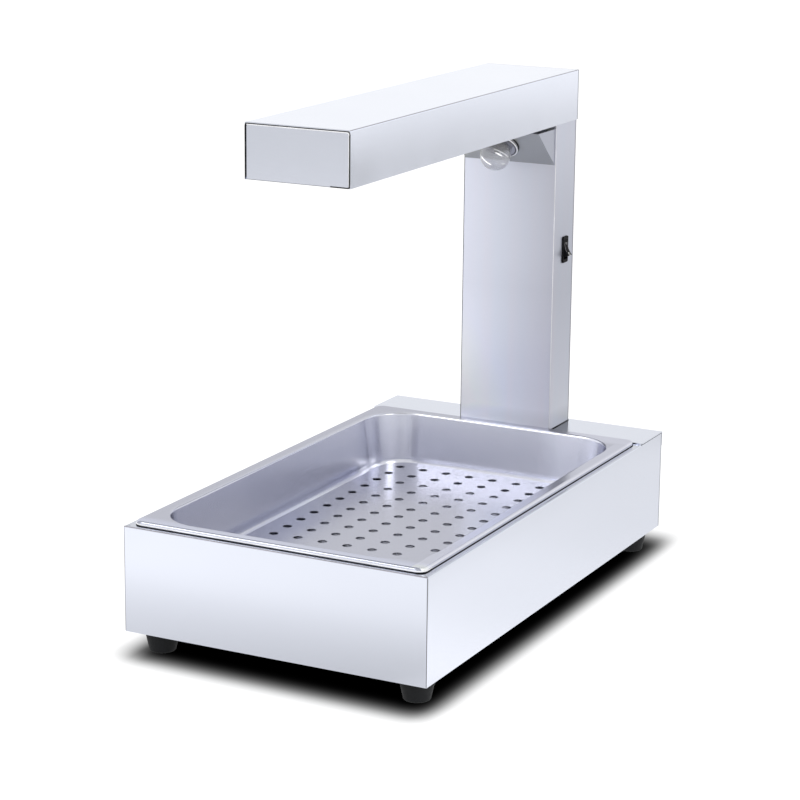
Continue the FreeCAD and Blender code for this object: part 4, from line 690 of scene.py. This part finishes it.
# The ring's beads, a painted shadow round its seat and painted dark, bright and grey reflection
# arcs: how far each one's circle is outside the ring's, its height over the ring's outer face,
# the bead's own radius (all in mm) and its material.
RING_BEADS = (
    ("lamp_ring_seat_shadow", 0.2, -3.2, 0.5, PAINTED_SHADE_BLACK),
    ("lamp_ring_lip_highlight", -0.8, -0.2, 0.7, PAINTED_HIGHLIGHT),
    ("lamp_ring_dark_reflection", -2.4, -0.2, 0.8, PAINTED_SHADE_BLACK),
    ("lamp_ring_grey_reflection", -4.6, -0.3, 0.6, JOINT_AND_PAINTED_SHADE_GREY),
    ("lamp_ring_inner_dark_reflection", -7.0, 0.0, 0.45, PAINTED_SHADE_BLACK))


def ring_path(centre, axis, radius, steps=64):
    """Points round a circle, with the first one again at the end."""
    across = axis.orthogonal().normalized()
    other = axis.cross(across)
    turns = [math.tau * step / steps for step in range(steps + 1)]
    return [centre + (across * math.cos(turn) + other * math.sin(turn)) * radius
            for turn in turns]


def make_lamp_ring():
    """A painted shadow round the lamp ring's seat, painted dark and grey reflection arcs on its
    face, and a painted highlight on its lip.
    """
    low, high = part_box("lamp_ring")
    radius, middle = (high.x - low.x) / 2, (low + high) / 2
    for name, beyond, height, width, material in RING_BEADS:
        centre = middle + LAMP_AXIS * (RING_THICKNESS / 2 + height * MM)
        bead(name, ring_path(centre, LAMP_AXIS, radius + beyond * MM), width * MM, material)


def make_marks():
    """The on and off marks moulded into the rocker's outer face, and painted pale highlights along
    its edges.
    """
    rocker = nodes["switch_rocker"]
    low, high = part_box("switch_rocker")
    surface = BVHTree.FromPolygons(
        [rocker.matrix_world @ corner.co for corner in rocker.data.vertices],
        [list(face.vertices) for face in rocker.data.polygons])
    middle, height = (low.y + high.y) / 2, high.z - low.z

    def marked(name, path, radius, material):
        """A bead laid on the rocker's face along a line of (y, z) points."""
        points = []
        for y, z in path:
            outside = Vector((high.x + 20 * MM, y, z))
            place, normal = surface.ray_cast(outside, Vector((-1, 0, 0)))[:2]
            points.append(place + normal * 0.04 * MM)
        bead(name, points, radius, material, "rocker")

    marked("rocker_mark_on", [(middle, low.z + height * share)
                              for share in (0.76, 0.79, 0.82, 0.85, 0.88)], 0.22 * MM, MARK_WHITE)
    turns = [math.tau * step / 20 for step in range(21)]
    marked("rocker_mark_off", [(middle + 1.5 * MM * math.cos(turn),
                                low.z + height * 0.20 + 1.7 * MM * math.sin(turn))
                               for turn in turns], 0.22 * MM, MARK_WHITE)
    # Painted highlights along the rocker's front and rear edges.
    for name, y in (("rocker_edge_highlight_front", low.y + 0.7 * MM),
                    ("rocker_edge_highlight_rear", high.y - 0.7 * MM)):
        marked(name, [(y, low.z + height * share / 20) for share in range(7, 18)],
               0.16 * MM, JOINT_AND_PAINTED_LIGHT_PALE)


# Floor, backdrop and light

# The level at the top of a ramp's curve, above every level in the tables.
RAMP_TOP = 1.25
# The floor's albedo for the light it gives back, for the camera and for reflections.
FLOOR_ALBEDO, CAMERA_ALBEDO, MIRROR_ALBEDO = 0.88, 0.35, 0.2
CAMERA_GLOW = 0.84
FLOOR_HALF = 14.0
# How far the base's front edge is before the origin.
FRONT_EDGE = 0.309
# Painted reflections: how bright the floor looks in the steel: in front of the part by the distance
# ahead of it, close beside it by Y, and further off its right side by X.
FRONT_LEVELS = ((-0.3, 0.70), (0.0, 0.70), (0.08, 0.75), (0.18, 0.88), (0.3, 1.03), (0.5, 1.0),
                (0.8, 0.91), (1.7, 0.96), (2.1, 0.85), (2.5, 0.71), (3.1, 0.74), (4.0, 0.72))
BESIDE_LEVELS = ((-0.5, 1.12), (-0.2, 1.12), (0.0, 1.01), (0.15, 0.98), (0.3, 0.91), (0.5, 0.88),
                 (0.66, 0.87), (0.86, 0.69), (1.2, 0.67))
SIDE_LEVELS = ((0.2, 0.84), (0.35, 0.80), (0.58, 0.69), (0.9, 0.82), (1.2, 1.06), (1.36, 0.55),
               (1.5, 0.54), (1.65, 0.86), (1.8, 1.10), (2.4, 1.10))
# The border between the front's and the side's levels moves this far in X for each metre of Y.
LEVELS_SLOPE = 0.51
# How deep the painted shadow is along each side, by the distance in mm out from the base's edge.
RIGHT_SHADOW = ((-40.0, 1.0), (-20.0, 0.98), (-15.0, 0.94), (-10.0, 0.87), (-5.0, 0.75),
                (0.0, 0.58), (5.0, 0.41), (10.0, 0.24), (15.0, 0.11), (20.0, 0.03), (25.0, 0.0),
                (40.0, 0.0))
LEFT_SHADOW = ((-40.0, 1.0), (-25.0, 0.97), (-20.0, 0.90), (-15.0, 0.80), (-10.0, 0.70),
               (-5.0, 0.54), (0.0, 0.39), (5.0, 0.27), (10.0, 0.18), (15.0, 0.11), (20.0, 0.05),
               (25.0, 0.01), (30.0, 0.0), (40.0, 0.0))
FRONT_SHADOW = ((-60.0, 1.0), (-29.0, 0.995), (-19.0, 0.96), (-9.0, 0.88), (0.0, 0.74),
                (11.0, 0.51), (21.0, 0.27), (31.0, 0.10), (41.0, 0.015), (50.0, 0.0),
                (60.0, 0.0))
REAR_SHADOW = ((-70.0, 1.0), (-49.0, 0.99), (-29.0, 0.96), (-9.0, 0.90), (0.0, 0.82),
               (11.0, 0.67), (21.0, 0.52), (31.0, 0.34), (41.0, 0.20), (51.0, 0.10), (61.0, 0.03),
               (71.0, 0.0), (90.0, 0.0))
SHADOW_DEPTH = 0.997
# The painted front shadow narrows to the left of this X and widens to the right, by this share of
# the distance from it.
SKEW_START, SHADOW_SKEW = 0.11, 0.032
# From a level as it shows in the picture to the light it stands for.
DISPLAY_GAMMA = 2.2
# The room's brightness by the height of the direction looked in, its tint and its strength.
ROOM_LEVELS = ((0.0, 1.0), (0.15, 1.0), (0.25, 0.86), (0.5, 0.84), (0.9, 0.74))
ROOM_TINT = (0.99, 0.995, 1.0)
ROOM_STRENGTH = 1.04
# Each light's place, the side of its square and its power, all aimed at one point.
LIGHTS = (("key", (-1.6, -1.8, 2.4), 1.2, 20), ("fill", (2.2, -1.0, 1.6), 1.0, 8))
LIGHT_TARGET = Vector((0, 0, 0.2))


def ramp(shader, value, stops):
    """A level that runs through (value, level) stops."""
    low, high = stops[0][0], stops[-1][0]
    made = shader.node("FloatCurve")
    shader.link(shader.span(value, low, high), made.inputs["Value"])
    curve = made.mapping.curves[0]
    points = [((place - low) / (high - low), level / RAMP_TOP) for place, level in stops]
    curve.points[0].location, curve.points[1].location = points[0], points[-1]
    for point in points[1:-1]:
        curve.points.new(*point)
    made.mapping.update()
    return shader.times(made.outputs["Value"], RAMP_TOP)


def painted_floor_reflections(shader, x, y):
    """Painted reflections: how bright the floor looks in the steel at each place."""
    ahead = shader.minus(shader.times(y, -1.0), FRONT_EDGE)
    slant = shader.times(shader.span(x, -0.35, 0.15, 0.1, -0.1),
                         shader.span(ahead, 0.2, 0.5, 1.0, 0.0))
    front = shader.plus(ramp(shader, ahead, FRONT_LEVELS), slant)
    strip = shader.times(shader.span(y, 2.5, 3.6, -0.14, 0.22), shader.span(x, 1.3, 1.4))
    strip = shader.times(strip, shader.span(x, 1.6, 1.75, 1.0, -0.6))
    rise = shader.plus(strip, shader.span(y, 3.6, 4.0, 0.0, 0.15))
    away = shader.plus(ramp(shader, x, SIDE_LEVELS), rise)
    side = shader.blend(shader.span(x, 0.33, 0.42), ramp(shader, y, BESIDE_LEVELS), away)
    beside = shader.span(shader.plus(x, shader.times(y, LEVELS_SLOPE)), -0.1, 0.1)
    return shader.blend(beside, front, side)


def painted_floor_shadow(shader, x, y):
    """How deep the painted contact shadow is, from the distances out from the base's four edges."""
    low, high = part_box("base_shell")
    depth = 1.0
    for value, edge, way, stops in ((x, high.x, 1.0, RIGHT_SHADOW), (x, low.x, -1.0, LEFT_SHADOW),
                                    (y, low.y, -1.0, FRONT_SHADOW), (y, high.y, 1.0, REAR_SHADOW)):
        out = shader.times(shader.minus(value, edge), way / MM)
        if stops is FRONT_SHADOW:
            out = shader.plus(out, shader.times(shader.minus(SKEW_START, x), SHADOW_SKEW / MM))
        depth = shader.times(depth, ramp(shader, out, stops))
    return shader.times(depth, SHADOW_DEPTH)


def make_floor():
    """A pale floor with a deep painted contact shadow, and its own painted levels for reflections
    in the steel.
    """
    shader = Shader("floor")
    path = shader.node("LightPath")
    x, y, _ = shader.place()
    level, depth = painted_floor_reflections(shader, x, y), painted_floor_shadow(shader, x, y)
    lit = shader.math("POWER", shader.minus(1.0, depth), DISPLAY_GAMMA)
    glossy, camera = path.outputs["Is Glossy Ray"], path.outputs["Is Camera Ray"]
    plain = shader.minus(1.0, shader.plus(glossy, camera))
    albedo = shader.plus(shader.plus(shader.times(plain, FLOOR_ALBEDO),
                                     shader.times(camera, CAMERA_ALBEDO)),
                         shader.times(glossy, MIRROR_ALBEDO))
    diffuse = shader.node("BsdfDiffuse")
    shader.link(shader.grey(shader.times(lit, albedo)), diffuse.inputs["Color"])
    glow = shader.node("Emission")
    # The floor's glow for the camera carries the painted shadow.
    seen = shader.times(shader.times(camera, lit), CAMERA_GLOW)
    mirrored = shader.times(glossy, shader.minus(level, MIRROR_ALBEDO))
    shader.link(shader.plus(seen, mirrored), glow.inputs["Strength"])
    both = shader.node("AddShader")
    shader.link(diffuse.outputs[0], both.inputs[0])
    shader.link(glow.outputs[0], both.inputs[1])
    shader.link(both.outputs[0], shader.output.inputs["Surface"])
    mesh = bpy.data.meshes.new("floor")
    mesh.from_pydata([(-FLOOR_HALF, -FLOOR_HALF, 0), (FLOOR_HALF, -FLOOR_HALF, 0),
                      (FLOOR_HALF, FLOOR_HALF, 0), (-FLOOR_HALF, FLOOR_HALF, 0)],
                     [], [(0, 1, 2, 3)])
    mesh.materials.append(shader.owner)
    floor = bpy.data.objects.new("floor", mesh)
    scene.collection.objects.link(floor)


def make_world():
    """White behind the object for the camera, and a soft bright room for light and reflections."""
    shader = Shader("studio", "World")
    scene.world = shader.owner
    heights = shader.node("ValToRGB")
    direction = shader.split(shader.node("TexCoord").outputs["Generated"])
    shader.link(direction[2], heights.inputs["Fac"])
    stops = heights.color_ramp.elements
    while len(stops) < len(ROOM_LEVELS):
        stops.new(1.0)
    for stop, (place, level) in zip(stops, ROOM_LEVELS):
        stop.position = place
        stop.color = scaled(ROOM_TINT, level)
    mix = shader.node("MixShader")
    shader.link(shader.node("LightPath").outputs["Is Camera Ray"], mix.inputs["Fac"])
    for slot, color, strength in ((1, heights.outputs["Color"], ROOM_STRENGTH), (2, WHITE, 1.0)):
        backdrop = shader.node("Background")
        shader.put(backdrop.inputs["Color"], color)
        shader.put(backdrop.inputs["Strength"], strength)
        shader.link(backdrop.outputs[0], mix.inputs[slot])
    shader.link(mix.outputs[0], shader.output.inputs["Surface"])


def make_lights():
    """Two square lights, aimed at the object."""
    for name, place, size, power in LIGHTS:
        data = bpy.data.lights.new(name, "AREA")
        data.shape = "RECTANGLE"
        data.size = data.size_y = size
        data.energy = power
        light = bpy.data.objects.new(name, data)
        scene.collection.objects.link(light)
        light.location = place
        light.rotation_mode = "QUATERNION"
        light.rotation_quaternion = (LIGHT_TARGET - Vector(place)).to_track_quat("-Z", "Y")


make_camera()
dress_cad()
make_base_joints_and_shade_lines()
make_pan_lines()
make_column_shade_lines()
make_hood_shade_lines()
make_hood_cap_shadow_and_highlight()
make_lamp_ring()
make_marks()
make_floor()
make_world()
make_lights()
